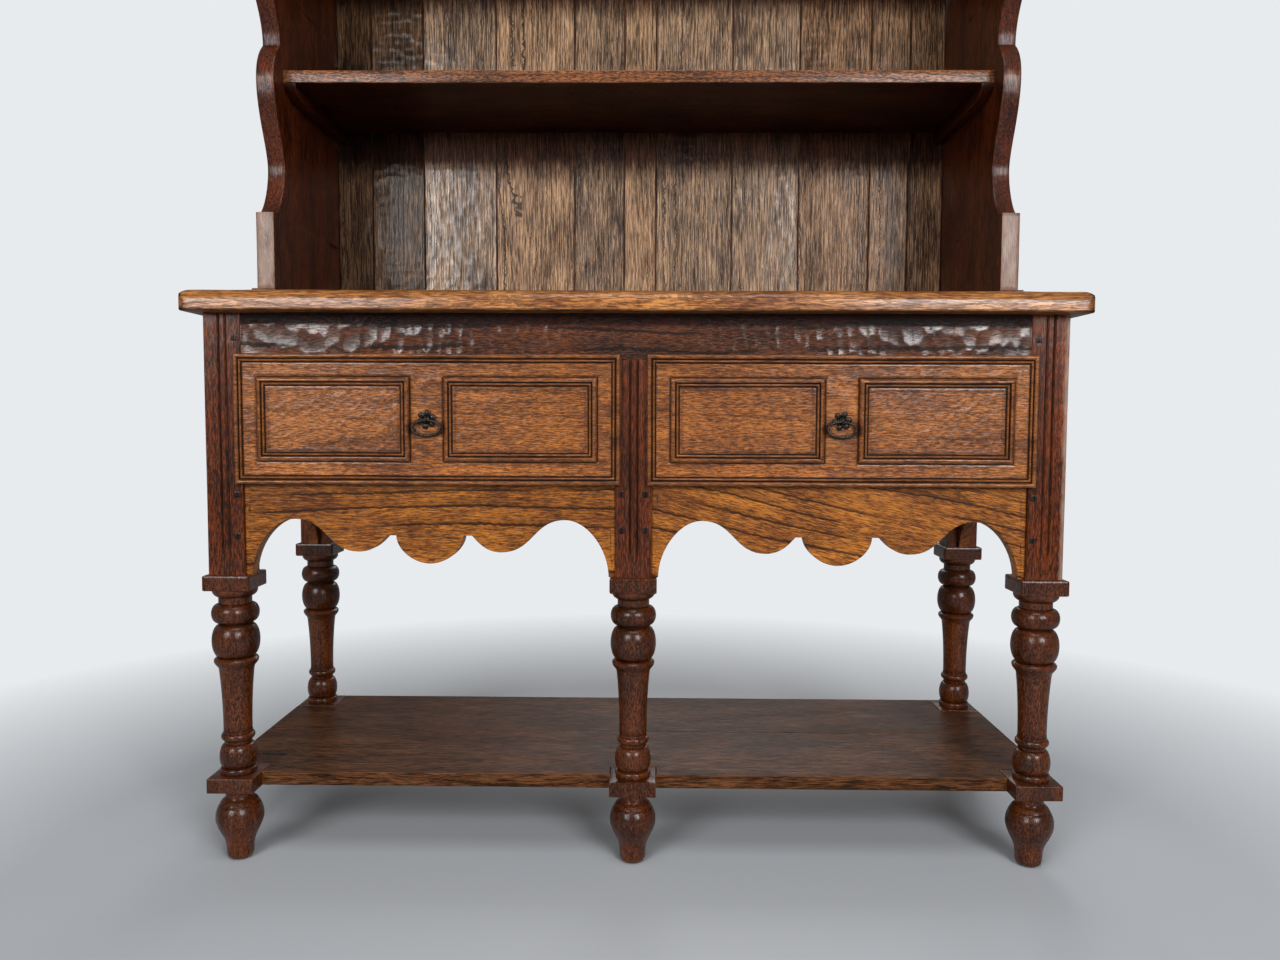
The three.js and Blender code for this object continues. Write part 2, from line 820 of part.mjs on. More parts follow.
// Rack sides: the front edge has a straight foot, then a scoop, a nose that carries each
// shelf and a cusp above it, and comes forward again between the shelves.
const scoopShares = { deepest: 0.37, lean: 0.16, noseLean: 0.27 };

function rackSideOutline() {
  const outline = new THREE.Shape();
  outline.moveTo(rackBack, sideBottom);
  outline.lineTo(rackFront, sideBottom);
  let step = worktopHeight + rackFootHeight;
  for (const shelf of [lowerShelfHeight, upperShelfHeight]) {
    const nose = shelf - noseDrop;
    const height = nose - step;
    const deepest = step + scoopShares.deepest * height;
    const lean = scoopShares.lean * height;
    const scoop = rackFront + scoopDepth;
    const noseY = rackFront + noseSetback;
    const cusp = nose + cuspOverNose;
    const cuspY = rackFront + cuspSetback;
    const back = cusp + returnRise;
    outline.lineTo(rackFront, step);
    outline.lineTo(rackFront + scrollStep, step);
    outline.bezierCurveTo(rackFront + scoopDepth / 2, step, scoop, deepest - lean, scoop, deepest);
    const noseLean = scoopShares.noseLean * height;
    outline.bezierCurveTo(scoop, deepest + lean, noseY, nose - noseLean, noseY, nose);
    const overNose = nose + cuspOverNose / 2;
    const underCusp = cusp - cuspOverNose / 5;
    outline.bezierCurveTo(noseY, overNose, (noseY + cuspY) / 2, underCusp, cuspY, cusp);
    const overCusp = cusp + returnRise / 2;
    outline.bezierCurveTo(cuspY, overCusp, noseY, back - returnRise / 5, rackFront, back);
    step = back + returnFlat;
  }
  outline.lineTo(rackFront, rackSideTop);
  outline.lineTo(rackBack, rackSideTop);
  return outline;
}

function shelfEnds(side, height) {
  return [
    [side * (rackInner + shelfHousing), rackShelfFront, height],
    [side * rackInner, rackBoardFront, height + rackShelfThickness],
  ];
}

function rackSide(side) {
  const near = side * rackInner;
  const far = side * rackOuter;
  const body = sideBoard(rackSideOutline(), Math.min(near, far), Math.max(near, far));
  const housings = [lowerShelfHeight, upperShelfHeight].map((height) => {
    const [low, high] = shelfEnds(side, height);
    return grown(low, [side * (rackInner - cutOverrun), high[1], high[2]], jointGap);
  });
  return cut(body, ...housings);
}

function rackShoe(side) {
  return block(
    [side * rackInner, rackFront, worktopHeight],
    [side * (rackOuter + shoeProjection), rackBack, sideBottom],
  );
}

function rackShelf(height) {
  const [low] = shelfEnds(-1, height);
  const [far] = shelfEnds(1, height);
  return block(low, [far[0], rackBoardFront, height + rackShelfThickness]);
}

// A cleat under each end of a shelf, rounded up to the shelf at its front end.
function shelfCleat(side, height) {
  const outline = new THREE.Shape();
  const front = rackShelfFront + jointGap;
  const bottom = height - cleatHeight;
  outline.moveTo(rackBoardFront, height);
  outline.lineTo(front, height);
  const noseEnd = front + cleatNose;
  outline.bezierCurveTo(front, height - cleatHeight / 2, front + cleatNose / 2, bottom, noseEnd, bottom);
  outline.lineTo(rackBoardFront, bottom);
  const near = side * rackInner;
  const far = side * (rackInner - cleatThickness);
  return sideBoard(outline, Math.min(near, far), Math.max(near, far));
}

function backBoards() {
  const total = backBoardShares.reduce((sum, share) => sum + share, 0);
  let passed = 0;
  return backBoardShares.map((share, i) => {
    const left = -rackInner + (passed / total) * 2 * rackInner + (i ? boardGap / 2 : 0);
    passed += share;
    const last = i === backBoardShares.length - 1;
    const right = -rackInner + (passed / total) * 2 * rackInner - (last ? 0 : boardGap / 2);
    return block([left, rackBoardFront, worktopHeight], [right, rackBack, rackSideTop]);
  });
}

function rackTopBoard() {
  const low = [-rackOuter, rackFront, rackSideTop];
  return block(low, [rackOuter, rackBack, rackSideTop + topBoardThickness]);
}

function rackFrieze() {
  const rises = {
    arch: rackArchRise,
    smallLobe: rackSmallLobeRise,
    cusp: rackCuspRise,
    centreLobe: rackCentreLobeRise,
  };
  const bottom = rackSideTop - rackFriezeHeight;
  const half = rackInner / 2;
  const bays = [-1, 1].map((side) => {
    const edge = scallopedEdge(half, bottom, rises);
    return edge.map((p) => new THREE.Vector2(p.x + side * half, p.y));
  });
  const lower = [...bays[0], ...bays[1].slice(1)];
  const top = [new THREE.Vector2(rackInner, rackSideTop), new THREE.Vector2(-rackInner, rackSideTop)];
  return frontBoard([...lower, ...top], rackFront, rackFront + rackFriezeThickness);
}

// The cornice is one moulding mitred round the front and both ends.
const corniceShares = [
  [0, 0],
  [0.1, 0],
  [0.16, 0.06],
  [0.1, 0.13],
  [0.1, 0.2],
  [0.2, 0.38],
  [0.42, 0.55],
  [0.66, 0.66],
  [0.78, 0.78],
  [0.78, 0.84],
  [1, 0.86],
  [1, 1],
  [0, 1],
];

function cornice() {
  const bottom = rackSideTop + topBoardThickness + corniceCover - corniceHeight;
  const count = corniceShares.length;
  const stations = [
    (out) => [-rackOuter - out, rackBack],
    (out) => [-rackOuter - out, rackFront - out],
    (out) => [rackOuter + out, rackFront - out],
    (out) => [rackOuter + out, rackBack],
  ];
  const pointAt = (station, [out, up]) => [
    ...station(out * corniceProjection),
    bottom + up * corniceHeight,
  ];
  const corners = stations.flatMap((station) =>
    corniceShares.flatMap((share) => pointAt(station, share)),
  );
  const section = corniceShares.map(([out, up]) => new THREE.Vector2(out, up));
  const caps = THREE.ShapeUtils.triangulateShape(section, []);
  const faces = [];
  for (let s = 0; s + 1 < stations.length; s++) {
    for (let i = 0; i < count; i++) {
      const a = s * count + i;
      const b = s * count + ((i + 1) % count);
      faces.push(a, a + count, b + count, a, b + count, b);
    }
  }
  const last = (stations.length - 1) * count;
  for (const [a, b, c] of caps) faces.push(a, b, c, last + a, last + c, last + b);
  const geometry = new THREE.BufferGeometry();
  geometry.setAttribute("position", new THREE.Float32BufferAttribute(corners, 3));
  geometry.setIndex(faces);
  geometry.computeVertexNormals();
  return geometry;
}

// The assembly

const base = new THREE.Group();
for (const [place, x, y] of legPlaces) {
  const leg = named("leg_" + place, turnedLeg(), darkOak);
  leg.position.set(x, y, 0);
  base.add(leg);
}
const posts = [
  ["front_post_left", frontPost(1), -legSpacing / 2, frontAxis],
  ["front_post_middle", middlePost(), 0, frontAxis],
  ["front_post_right", frontPost(-1), legSpacing / 2, frontAxis],
  ["back_post_left", backPost(1), -legSpacing / 2, backAxis],
  ["back_post_right", backPost(-1), legSpacing / 2, backAxis],
];
for (const [name, geometry, x, y] of posts) {
  const post = named(name, geometry, darkOak);
  post.position.set(x, y, 0);
  base.add(post);
}
const potShelfJoint = frontAxis + potShelfJointShare * (legDepth + collarSize / 2);
const potShelfFront = potShelfBoard(frontAxis, potShelfJoint - boardGap / 2);
const potShelfBack = potShelfBoard(potShelfJoint + boardGap / 2, backAxis + collarSize / 2);
base.add(
  named("worktop", worktop(), paleOak),
  named("frieze_rail", friezeRail(), oak),
  named("base_back", baseBack(), greyOak),
  named("drawer_runner_middle", middleRunner(), greyOak),
  named("pot_shelf_front", potShelfFront, darkOak),
  named("pot_shelf_back", potShelfBack, darkOak),
);

const sides = [
  [-1, "left"],
  [1, "right"],
];
for (const [side, word] of sides) {
  base.add(
    named("end_board_" + word, endBoard(side), oak),
    named("drawer_runner_" + word, outerRunner(side), greyOak),
  );
  const bay = new THREE.Group();
  bay.position.x = side * bayCentre;
  bay.add(
    named("apron_" + word, apron(), oak),
    named("drawer_front_" + word, drawerFront(), oak),
    named("drawer_back_" + word, drawerBack(), greyOak),
    named("drawer_bottom_" + word, drawerBottomBoard(), greyOak),
    named("drawer_side_outer_" + word, drawerSide(side), greyOak),
    named("drawer_side_inner_" + word, drawerSide(-side), greyOak),
    named("pull_plate_" + word, pullPlate(), iron),
    named("pull_ring_" + word, pullRing(), iron),
  );
  base.add(bay);
}

const rack = new THREE.Group();
for (const [side, word] of sides) {
  rack.add(
    named("rack_side_" + word, rackSide(side), darkOak),
    named("rack_shoe_" + word, rackShoe(side), darkOak),
    named("lower_cleat_" + word, shelfCleat(side, lowerShelfHeight), darkOak),
    named("upper_cleat_" + word, shelfCleat(side, upperShelfHeight), darkOak),
  );
}
backBoards().forEach((board, i) => rack.add(named("back_board_" + (i + 1), board, greyOak)));
rack.add(
  named("lower_shelf", rackShelf(lowerShelfHeight), darkOak),
  named("upper_shelf", rackShelf(upperShelfHeight), darkOak),
  named("rack_frieze", rackFrieze(), oak),
  named("rack_top_board", rackTopBoard(), darkOak),
  named("cornice", cornice(), oak),
);

const dresser = new THREE.Group();
dresser.add(base, rack);

export default dresser;
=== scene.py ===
import math

import bmesh
import bpy
import numpy as np
from mathutils import Matrix, Vector


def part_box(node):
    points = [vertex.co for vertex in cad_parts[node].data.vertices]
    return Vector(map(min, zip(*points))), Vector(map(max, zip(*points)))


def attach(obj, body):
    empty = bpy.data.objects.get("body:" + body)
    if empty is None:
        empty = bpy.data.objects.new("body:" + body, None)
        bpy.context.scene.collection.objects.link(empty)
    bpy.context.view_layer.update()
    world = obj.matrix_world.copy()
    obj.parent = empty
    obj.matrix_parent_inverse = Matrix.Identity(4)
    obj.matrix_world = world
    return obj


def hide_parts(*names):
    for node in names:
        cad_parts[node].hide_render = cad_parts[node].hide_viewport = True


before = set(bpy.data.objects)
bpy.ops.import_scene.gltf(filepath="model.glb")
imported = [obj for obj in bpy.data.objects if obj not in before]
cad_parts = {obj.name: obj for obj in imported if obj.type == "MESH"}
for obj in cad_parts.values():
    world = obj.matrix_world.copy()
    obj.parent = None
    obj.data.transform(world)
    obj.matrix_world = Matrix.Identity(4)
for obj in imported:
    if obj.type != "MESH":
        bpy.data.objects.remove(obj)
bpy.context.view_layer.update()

MM = 0.001


# The place it stands in: a pale floor and soft daylight from the front, with the eye at the height
# of the drawers, close enough that the top of the plate rack is out of the picture.
EYE = Vector((0.0283, -1.6665, 0.6940))
EYE_TURN, EYE_DIP, EYE_LEAN = -0.012787, 0.061803, 0.004125
FOCAL_PIXELS, PICTURE_PIXELS = 957.5, 1280


def set_camera():
    """Looks from the eye, turned about the upright, dipped below level and leaned about the view line."""
    ahead = math.cos(EYE_DIP)
    forward = Vector((math.sin(EYE_TURN) * ahead, math.cos(EYE_TURN) * ahead, -math.sin(EYE_DIP)))
    level = Vector((math.cos(EYE_TURN), -math.sin(EYE_TURN), 0))
    upright = level.cross(forward)
    right = level * math.cos(EYE_LEAN) + upright * math.sin(EYE_LEAN)
    up = upright * math.cos(EYE_LEAN) - level * math.sin(EYE_LEAN)
    camera = bpy.data.objects.new("camera", bpy.data.cameras.new("camera"))
    camera.data.lens = FOCAL_PIXELS / PICTURE_PIXELS * camera.data.sensor_width
    camera.matrix_world = Matrix.Translation(EYE) @ Matrix((right, up, -forward)).transposed().to_4x4()
    bpy.context.collection.objects.link(camera)
    bpy.context.scene.camera = camera


def put(tree, kind, settings=None, **sockets):
    """Adds a node. A socket is given by its name, with _ for a space, or by i and its number, and takes
    a value or another node's output."""
    made = tree.nodes.new(kind)
    for key, value in (settings or {}).items():
        setattr(made, key, value)
    for key, value in sockets.items():
        socket = made.inputs[int(key[1:])] if key[1:].isdigit() else made.inputs[key.replace("_", " ")]
        if isinstance(value, bpy.types.NodeSocket):
            tree.links.new(value, socket)
        else:
            socket.default_value = value
    return made


def short_hands(tree):
    """Four short ways to add a node to one tree and take what it gives."""

    def sums(kind, a, b=0.0):
        """Two numbers put together by the kind of sum named."""
        return put(tree, "ShaderNodeMath", {"operation": kind}, i0=a, i1=b).outputs[0]

    def ramp(value, a, b, c=0.0, d=1.0):
        """A value that runs from a to b made to run from c to d, and held at those ends."""
        made = put(tree, "ShaderNodeMapRange", Value=value, From_Min=a, From_Max=b, To_Min=c, To_Max=d)
        return made.outputs[0]

    def noise(place, size, detail=1.0, rough=0.5):
        """Noise at a place whose axes are each stretched by a size, so many lumps to the metre."""
        spread = put(tree, "ShaderNodeVectorMath", {"operation": "MULTIPLY"}, i0=place, i1=size).outputs[0]
        made = put(tree, "ShaderNodeTexNoise", Vector=spread, Scale=1.0, Detail=detail, Roughness=rough)
        return made.outputs["Fac"]

    def blend(share, a, b, kind="MIX"):
        """Colour a, with a share of colour b put over it."""
        settings = {"data_type": "RGBA", "blend_type": kind}
        return put(tree, "ShaderNodeMix", settings, i0=share, i6=a, i7=b).outputs[2]

    return sums, ramp, noise, blend


def fresh(name):
    """A new material, the tree of its nodes and the shader in that tree."""
    material = bpy.data.materials.new(name)
    material.use_nodes = True
    return material, material.node_tree, material.node_tree.nodes["Principled BSDF"]


def tint(red, green, blue):
    """A colour as it is seen on a screen, from 0 to 255, as the linear colour that a shader takes."""
    seen = np.array([red, green, blue]) / 255
    return (*np.where(seen <= 0.04045, seen / 12.92, ((seen + 0.055) / 1.055) ** 2.4), 1.0)


FLOOR_COLOUR = tint(186, 190, 195)
FLOOR_ROUGHNESS = 0.55
FLOOR_REACH = 9.0
FLOOR_MIDDLE = (0.0, -0.15, 0.0)
FADE_FROM, FADE_TO = 0.95, 1.9
BACKDROP_COLOUR = tint(232, 235, 238)
SKY_LEVEL = 0.07
GLOSS_SHARE = 0.2
LAMP_AIM = Vector((0, 0, 0.7))
# Name, place, width and power of each lamp.
LAMPS = [
    ("window_left", (-1.9, -3.6, 1.95), 1.5, 80.0),
    ("window_right", (1.6, -3.4, 1.9), 1.3, 86.0),
    ("ceiling", (0.1, -1.5, 3.5), 1.6, 32.0),
    ("room_behind", (0.4, 3.4, 3.0), 2.5, 62.0),
]


def set_stage():
    """A wide floor that fades to the backdrop far off, a pale backdrop that the eye sees and polish
    mirrors a share of, a dimmer even light for the rest, and square lamps."""
    mesh = bpy.data.meshes.new("floor")
    corners = [(x * FLOOR_REACH, y * FLOOR_REACH, 0) for x, y in ((-1, -1), (1, -1), (1, 1), (-1, 1))]
    mesh.from_pydata(corners, [], [(0, 1, 2, 3)])
    floor = bpy.data.objects.new("floor", mesh)
    bpy.context.collection.objects.link(floor)
    material, tree, paint = fresh("floor")
    sums, ramp, _, _ = short_hands(tree)
    paint.inputs["Base Color"].default_value = FLOOR_COLOUR
    paint.inputs["Roughness"].default_value = FLOOR_ROUGHNESS
    place = put(tree, "ShaderNodeTexCoord").outputs["Object"]
    apart = put(tree, "ShaderNodeVectorMath", {"operation": "DISTANCE"}, i0=place, i1=FLOOR_MIDDLE)
    far = ramp(apart.outputs["Value"], FADE_FROM, FADE_TO)
    share = sums("MULTIPLY", far, put(tree, "ShaderNodeLightPath").outputs["Is Camera Ray"])
    pale = put(tree, "ShaderNodeEmission", Color=BACKDROP_COLOUR, Strength=1.0)
    mix = put(tree, "ShaderNodeMixShader", i0=share, i1=paint.outputs[0], i2=pale.outputs[0])
    tree.links.new(mix.outputs[0], tree.nodes["Material Output"].inputs["Surface"])
    mesh.materials.append(material)

    world = bpy.data.worlds.new("world")
    world.use_nodes = True
    bpy.context.scene.world = world
    tree = world.node_tree
    tree.nodes.clear()
    sums = short_hands(tree)[0]
    ray = put(tree, "ShaderNodeLightPath").outputs
    seen = sums("MAXIMUM", ray["Is Camera Ray"], ray["Is Transmission Ray"])
    seen = sums("ADD", seen, sums("MULTIPLY", ray["Is Glossy Ray"], GLOSS_SHARE))
    light = put(tree, "ShaderNodeBackground", Color=(1, 1, 1, 1), Strength=SKY_LEVEL)
    backdrop = put(tree, "ShaderNodeBackground", Color=BACKDROP_COLOUR, Strength=1.0)
    mix = put(tree, "ShaderNodeMixShader", i0=seen, i1=light.outputs[0], i2=backdrop.outputs[0])
    put(tree, "ShaderNodeOutputWorld", Surface=mix.outputs[0])

    for name, place, size, power in LAMPS:
        lamp = bpy.data.objects.new(name, bpy.data.lights.new(name, "AREA"))
        lamp.data.size = size
        lamp.data.energy = power
        turn = (LAMP_AIM - Vector(place)).to_track_quat("-Z", "Y").to_matrix().to_4x4()
        lamp.matrix_world = Matrix.Translation(place) @ turn
        bpy.context.collection.objects.link(lamp)
    bpy.context.scene.view_settings.view_transform = "Standard"


set_camera()
set_stage()


# Legs. Five oak legs turned between square blocks: a top-shaped foot, a plinth let into the pot shelf,
# a bulb, a tapered shaft, a ball and a flat bead, under a square collar that the post stands on.
BLOCK_HALF = 36 * MM
PLINTH_BOTTOM, PLINTH_TOP = 115 * MM, 138 * MM
COLLAR_BOTTOM, COLLAR_TOP = 431 * MM, 455 * MM
BLOCK_ARRIS = 1.6 * MM
LEG_SIDES = 72
PROFILE_STEPS = 15
# Tool marks fade out towards an edge, and lines of the mesh keep to the sides of its rounding.
MARK_FADE = 4 * MM
RIM_LINES = np.array([0, 1.6, 4.5]) * MM
# How far along the log each piece is cut from the one before, and how close two points count as one.
GRAIN_STEP = 3.7
SAME_PLACE = 1e-6
SMOOTH_ANGLE = math.radians(38)


def hash_of(a, b, seed):
    """A number from 0 to 1 that looks random, the same each time for the same cell: the part behind the
    point of a large multiple of the sine of a weighted sum."""
    value = np.sin(a * 127.1 + b * 311.7 + seed * 74.7) * 43758.5453
    return value - np.floor(value)


def tool_marks(along, across, length, width, seed):
    """The scoops of a hand tool, from 0 on the ridges between them to 1 in their middles. The middles
    are a grid with each one moved about in its own cell, and a place belongs to the nearest of them."""
    u, v = along / length, across / width
    column, row = np.floor(u), np.floor(v)
    nearest = np.full(np.shape(u), 9.0)
    for step_u in (-1, 0, 1):
        for step_v in (-1, 0, 1):
            cu, cv = column + step_u, row + step_v
            mu = cu + 0.15 + 0.7 * hash_of(cu, cv, seed)
            mv = cv + 0.15 + 0.7 * hash_of(cu, cv, seed + 5)
            nearest = np.minimum(nearest, (u - mu) ** 2 + (v - mv) ** 2)
    return np.clip(1 - nearest / 0.6, 0, 1)


def wander(points, depth, seed, wave=0.16):
    """Moves points along each axis by a sum of three slow sine waves, as old boards move."""
    moved = points.copy()
    for axis in range(3):
        for n in range(3):
            way = np.array([hash_of(axis, n + 3 * k, seed) - 0.5 for k in range(3)])
            phase = hash_of(axis, n, seed + 9) * 2 * math.pi
            moved[..., axis] += depth / 3 * np.sin(points @ (way * 4 * math.pi / wave) + phase)
    return moved


def skin(rings, grain, capped=True):
    """Rings of points joined into one skin, with the first and last ring closed."""
    count, around = rings.shape[:2]
    index = np.arange(count * around).reshape(count, around)
    onward = np.roll(index, -1, axis=1)
    faces = np.stack([index[:-1], onward[:-1], onward[1:], index[1:]], -1).reshape(-1, 4).tolist()
    if capped:
        faces += [index[0][::-1].tolist(), index[-1].tolist()]
    return rings.reshape(-1, 3), faces, grain.reshape(-1, 3)


def sheet(points, grain):
    """A grid of points as one open skin of four-sided faces."""
    rows, columns = points.shape[:2]
    index = np.arange(rows * columns).reshape(rows, columns)
    corners = [index[:-1, :-1], index[:-1, 1:], index[1:, 1:], index[1:, :-1]]
    faces = np.stack(corners, -1).reshape(-1, 4).tolist()
    return points.reshape(-1, 3), faces, grain.reshape(-1, 3)


def bent_edges(mesh):
    """How far each point stands out of its neighbours along its normal, as a share of their distance:
    above zero on a rounded edge, below zero in a groove. Then twice each point takes six tenths of its
    value from the mean of its neighbours."""
    count = len(mesh.vertices)
    place = np.empty(count * 3)
    normal = np.empty(count * 3)
    ends = np.empty(len(mesh.edges) * 2, int)
    mesh.vertices.foreach_get("co", place)
    mesh.vertices.foreach_get("normal", normal)
    mesh.edges.foreach_get("vertices", ends)
    place, normal, ends = place.reshape(-1, 3), normal.reshape(-1, 3), ends.reshape(-1, 2)
    first, last = ends.T
    step = place[last] - place[first]
    step /= np.maximum(np.linalg.norm(step, axis=1), 1e-7)[:, None]
    share = np.bincount(last, (step * normal[last]).sum(1), count)
    share -= np.bincount(first, (step * normal[first]).sum(1), count)
    joined = np.maximum(np.bincount(ends.ravel(), minlength=count), 1)
    bend = share / joined
    for _ in range(2):
        around = np.bincount(first, bend[last], count) + np.bincount(last, bend[first], count)
        bend = 0.4 * bend + 0.6 * around / joined
    return bend


def piece(node, ending, skins, material, tone=None, body="dresser", stands_for=True):
    """One object from several skins: doubled points merged, faces turned outwards, and three attributes:
    grain, the place in the board with the grain along its first axis; edge, how rounded it is; and tone,
    which a rule gives for each place, from -1 for thick old polish and painted shade to 1 for pale rubbing
    and painted light and sheen. It is named for its node, and stands for it unless it is a small part fixed
    to it."""
    name = node + "_" + ending
    starts = np.cumsum([0] + [len(points) for points, _, _ in skins])
    faces = [[i + start for i in face] for (_, part, _), start in zip(skins, starts) for face in part]
    mesh = bpy.data.meshes.new(name)
    mesh.from_pydata(np.concatenate([points for points, _, _ in skins]).tolist(), [], faces)
    grain = np.concatenate([part for _, _, part in skins])
    mesh.attributes.new("grain", "FLOAT_VECTOR", "POINT").data.foreach_set("vector", grain.ravel())
    work = bmesh.new()
    work.from_mesh(mesh)
    bmesh.ops.remove_doubles(work, verts=work.verts, dist=SAME_PLACE)
    bmesh.ops.recalc_face_normals(work, faces=work.faces)
    work.to_mesh(mesh)
    work.free()
    mesh.shade_smooth()
    mesh.set_sharp_from_angle(angle=SMOOTH_ANGLE)
    mesh.attributes.new("edge", "FLOAT", "POINT").data.foreach_set("value", bent_edges(mesh))
    if tone:
        place = np.empty(len(mesh.vertices) * 3)
        mesh.vertices.foreach_get("co", place)
        shades = tone(*place.reshape(-1, 3).T)
        mesh.attributes.new("tone", "FLOAT", "POINT").data.foreach_set("value", shades)
    mesh.materials.append(material)
    made = bpy.data.objects.new(name, mesh)
    bpy.context.collection.objects.link(made)
    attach(made, body)
    if stands_for:
        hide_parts(node)


def stations(low, high, spacing, ends):
    """Points added along two edges together, so that no step of either is longer than the spacing,
    and two more close to each end, where the end is rounded over."""
    low, high = np.array(low, float), np.array(high, float)
    steps = np.maximum(np.abs(np.diff(low, axis=0)).max(1), np.abs(np.diff(high, axis=0)).max(1))
    counts = np.maximum(np.ceil(steps / spacing).astype(int), 1)
    share = np.concatenate([i + np.arange(n) / n for i, n in enumerate(counts)] + [[len(counts)]])
    tips = np.array([0.3, 1.0]) * ends
    share = np.unique(np.concatenate([share, tips / steps[0], len(steps) - tips / steps[-1]]))
    whole = np.arange(len(low))
    return [np.stack([np.interp(share, whole, edge[:, k]) for k in (0, 1)], -1) for edge in (low, high)]


def inward(edge):
    """The direction square to an edge and to the left of its run, at each of its points."""
    along = np.gradient(edge, axis=0)
    along /= np.maximum(np.linalg.norm(along, axis=1), 1e-9)[:, None]
    return np.stack([-along[:, 1], along[:, 0]], -1)


def rounded_section(low, high, through, spacing, arris):
    """A rectangle with rounded corners, as rows of: the share of the way from the low edge to the high
    one, the inset from each of them, and the depth in the board's thickness."""
    turn = np.linspace(0, math.pi / 2, 4)
    leave, enter = arris * (1 - np.sin(turn)), arris * (1 - np.cos(turn))
    rim = arris + RIM_LINES
    count = max(int(math.ceil(np.abs(high - low).max() / spacing)), 2)
    deep = np.linspace(arris, through - arris, max(int(through / spacing), 1) + 1)[1:-1]

    def face(depth, spaces):
        """One face from edge to edge: three lines near each edge and even steps between them."""
        shares = np.linspace(0, 1, spaces + 1)[1:-1]
        across = [(0, s, 0, depth) for s in rim]
        across += [(t, rim[-1], rim[-1], depth) for t in shares]
        return across + [(1, 0, s, depth) for s in rim[::-1]]

    rows = face(0, count)
    rows += [(1, 0, s, d) for s, d in zip(leave[1:], enter[1:])]
    rows += [(1, 0, 0, d) for d in deep]
    rows += [(1, 0, s, through - d) for s, d in zip(enter[:-1], leave[:-1])]
    rows += face(through, max(count // 3, 2))[::-1]
    rows += [(0, s, 0, through - d) for s, d in zip(leave[1:], enter[1:])]
    rows += [(0, 0, 0, d) for d in deep[::-1]]
    rows += [(0, s, 0, d) for s, d in zip(enter[:-1], leave[:-1])]
    return np.array(rows).T[:, None, :, None]


def board(
    low, high, near, far, axes="xzy", spacing=6 * MM, arris=1.2 * MM, ends=0.5 * MM,
    marks=None, seed=0, bow=0.25 * MM, pith=(0.05, 0.09), slope=0.0,
):
    """A board between a low and a high edge, each a list of (along, across) places, and between two
    faces. A rounded section, square to each edge, is carried along, and draws in at both ends. marks is
    the length, width and depth of the tool marks on the faces. axes says which way along, across and
    through go. The grain runs along, across the board by the slope, and the heart lies off by pith."""
    low, high = stations(low, high, spacing, ends)
    share, in_low, in_high, deep = rounded_section(low, high, abs(far - near), spacing, arris)
    from_low = low[:, None] + inward(low)[:, None] * in_low
    from_high = high[:, None] - inward(high)[:, None] * in_high
    flat = (1 - share) * from_low + share * from_high
    a, b = flat[..., 0], flat[..., 1]
    c = near + np.sign(far - near) * np.broadcast_to(deep[..., 0], a.shape)
    from_end = np.minimum(np.abs(low[:, 0] - low[0, 0]), np.abs(low[:, 0] - low[-1, 0]))[:, None]
    close = 1 - np.clip(from_end / ends, 0, 1)
    draw_in = ends * (1 - np.sqrt(np.clip(1 - close ** 2, 0, 1)))
    b = np.where(draw_in > 0, np.clip(b, low[:, 1:] + draw_in, high[:, 1:] - draw_in), b)
    c = np.clip(c, min(near, far) + draw_in, max(near, far) - draw_in)
    if marks:
        length, width, depth = marks
        from_edge = np.minimum(b - low[:, 1:], high[:, 1:] - b)
        fade = np.clip(np.minimum(from_edge, from_end) / MARK_FADE, 0, 1) * ((c == near) * 1.0 - (c == far))
        # The rows of marks sway along the board, and the tool bites deeper in some places than in others.
        sway = 0.4 * width * np.sin(a / (1.7 * width) + seed)
        uneven = 0.65 + 0.35 * np.sin(a * 9 + seed) * np.sin(b * 23 + 2 * seed)
        hollow = tool_marks(a, b + sway, length, width, seed) * uneven
        c = c + fade * depth * hollow * np.sign(far - near)
    points = np.empty((*a.shape, 3))
    for values, axis in zip((a, b, c), axes):
        points[..., "xyz".index(axis)] = values
    grain = np.stack([a + seed * GRAIN_STEP, b - b.mean() + slope * a + pith[0], c - near + pith[1]], -1)
    return skin(wander(points, bow, seed), grain)


def block(lo, hi, axes="xzy", arris=BLOCK_ARRIS, spacing=8 * MM, **more):
    """A board with straight edges between two corners in the frame, its grain along its first axis."""
    order = ["xyz".index(axis) for axis in axes]
    a0, b0, c0 = (lo[axis] for axis in order)
    a1, b1, c1 = (hi[axis] for axis in order)
    return board([(a0, b0), (a1, b0)], [(a0, b1), (a1, b1)], c0, c1, axes, spacing, arris, **more)


def half_round(height, edge, swell, lean=1.0):
    """A bead: half an ellipse standing out of its edge radius, as (height, radius) steps from 0. A lean
    above 1 brings its widest place down."""
    turn = np.linspace(0, math.pi, PROFILE_STEPS)
    return [(height * ((1 - math.cos(t)) / 2) ** lean, edge + (swell - edge) * math.sin(t)) for t in turn]


def straight(height, radius):
    """A neck of one radius, in steps of about two millimetres, so that dirt lies only at its ends."""
    return [(rise, radius) for rise in np.linspace(0, height, int(height / 2) + 2)]


def tapered(height, foot, head, bow):
    """A shaft that swells upwards: its radius grows with a power of the height."""
    return [(height * t, foot + (head - foot) * t ** bow) for t in np.linspace(0, 1, PROFILE_STEPS)]


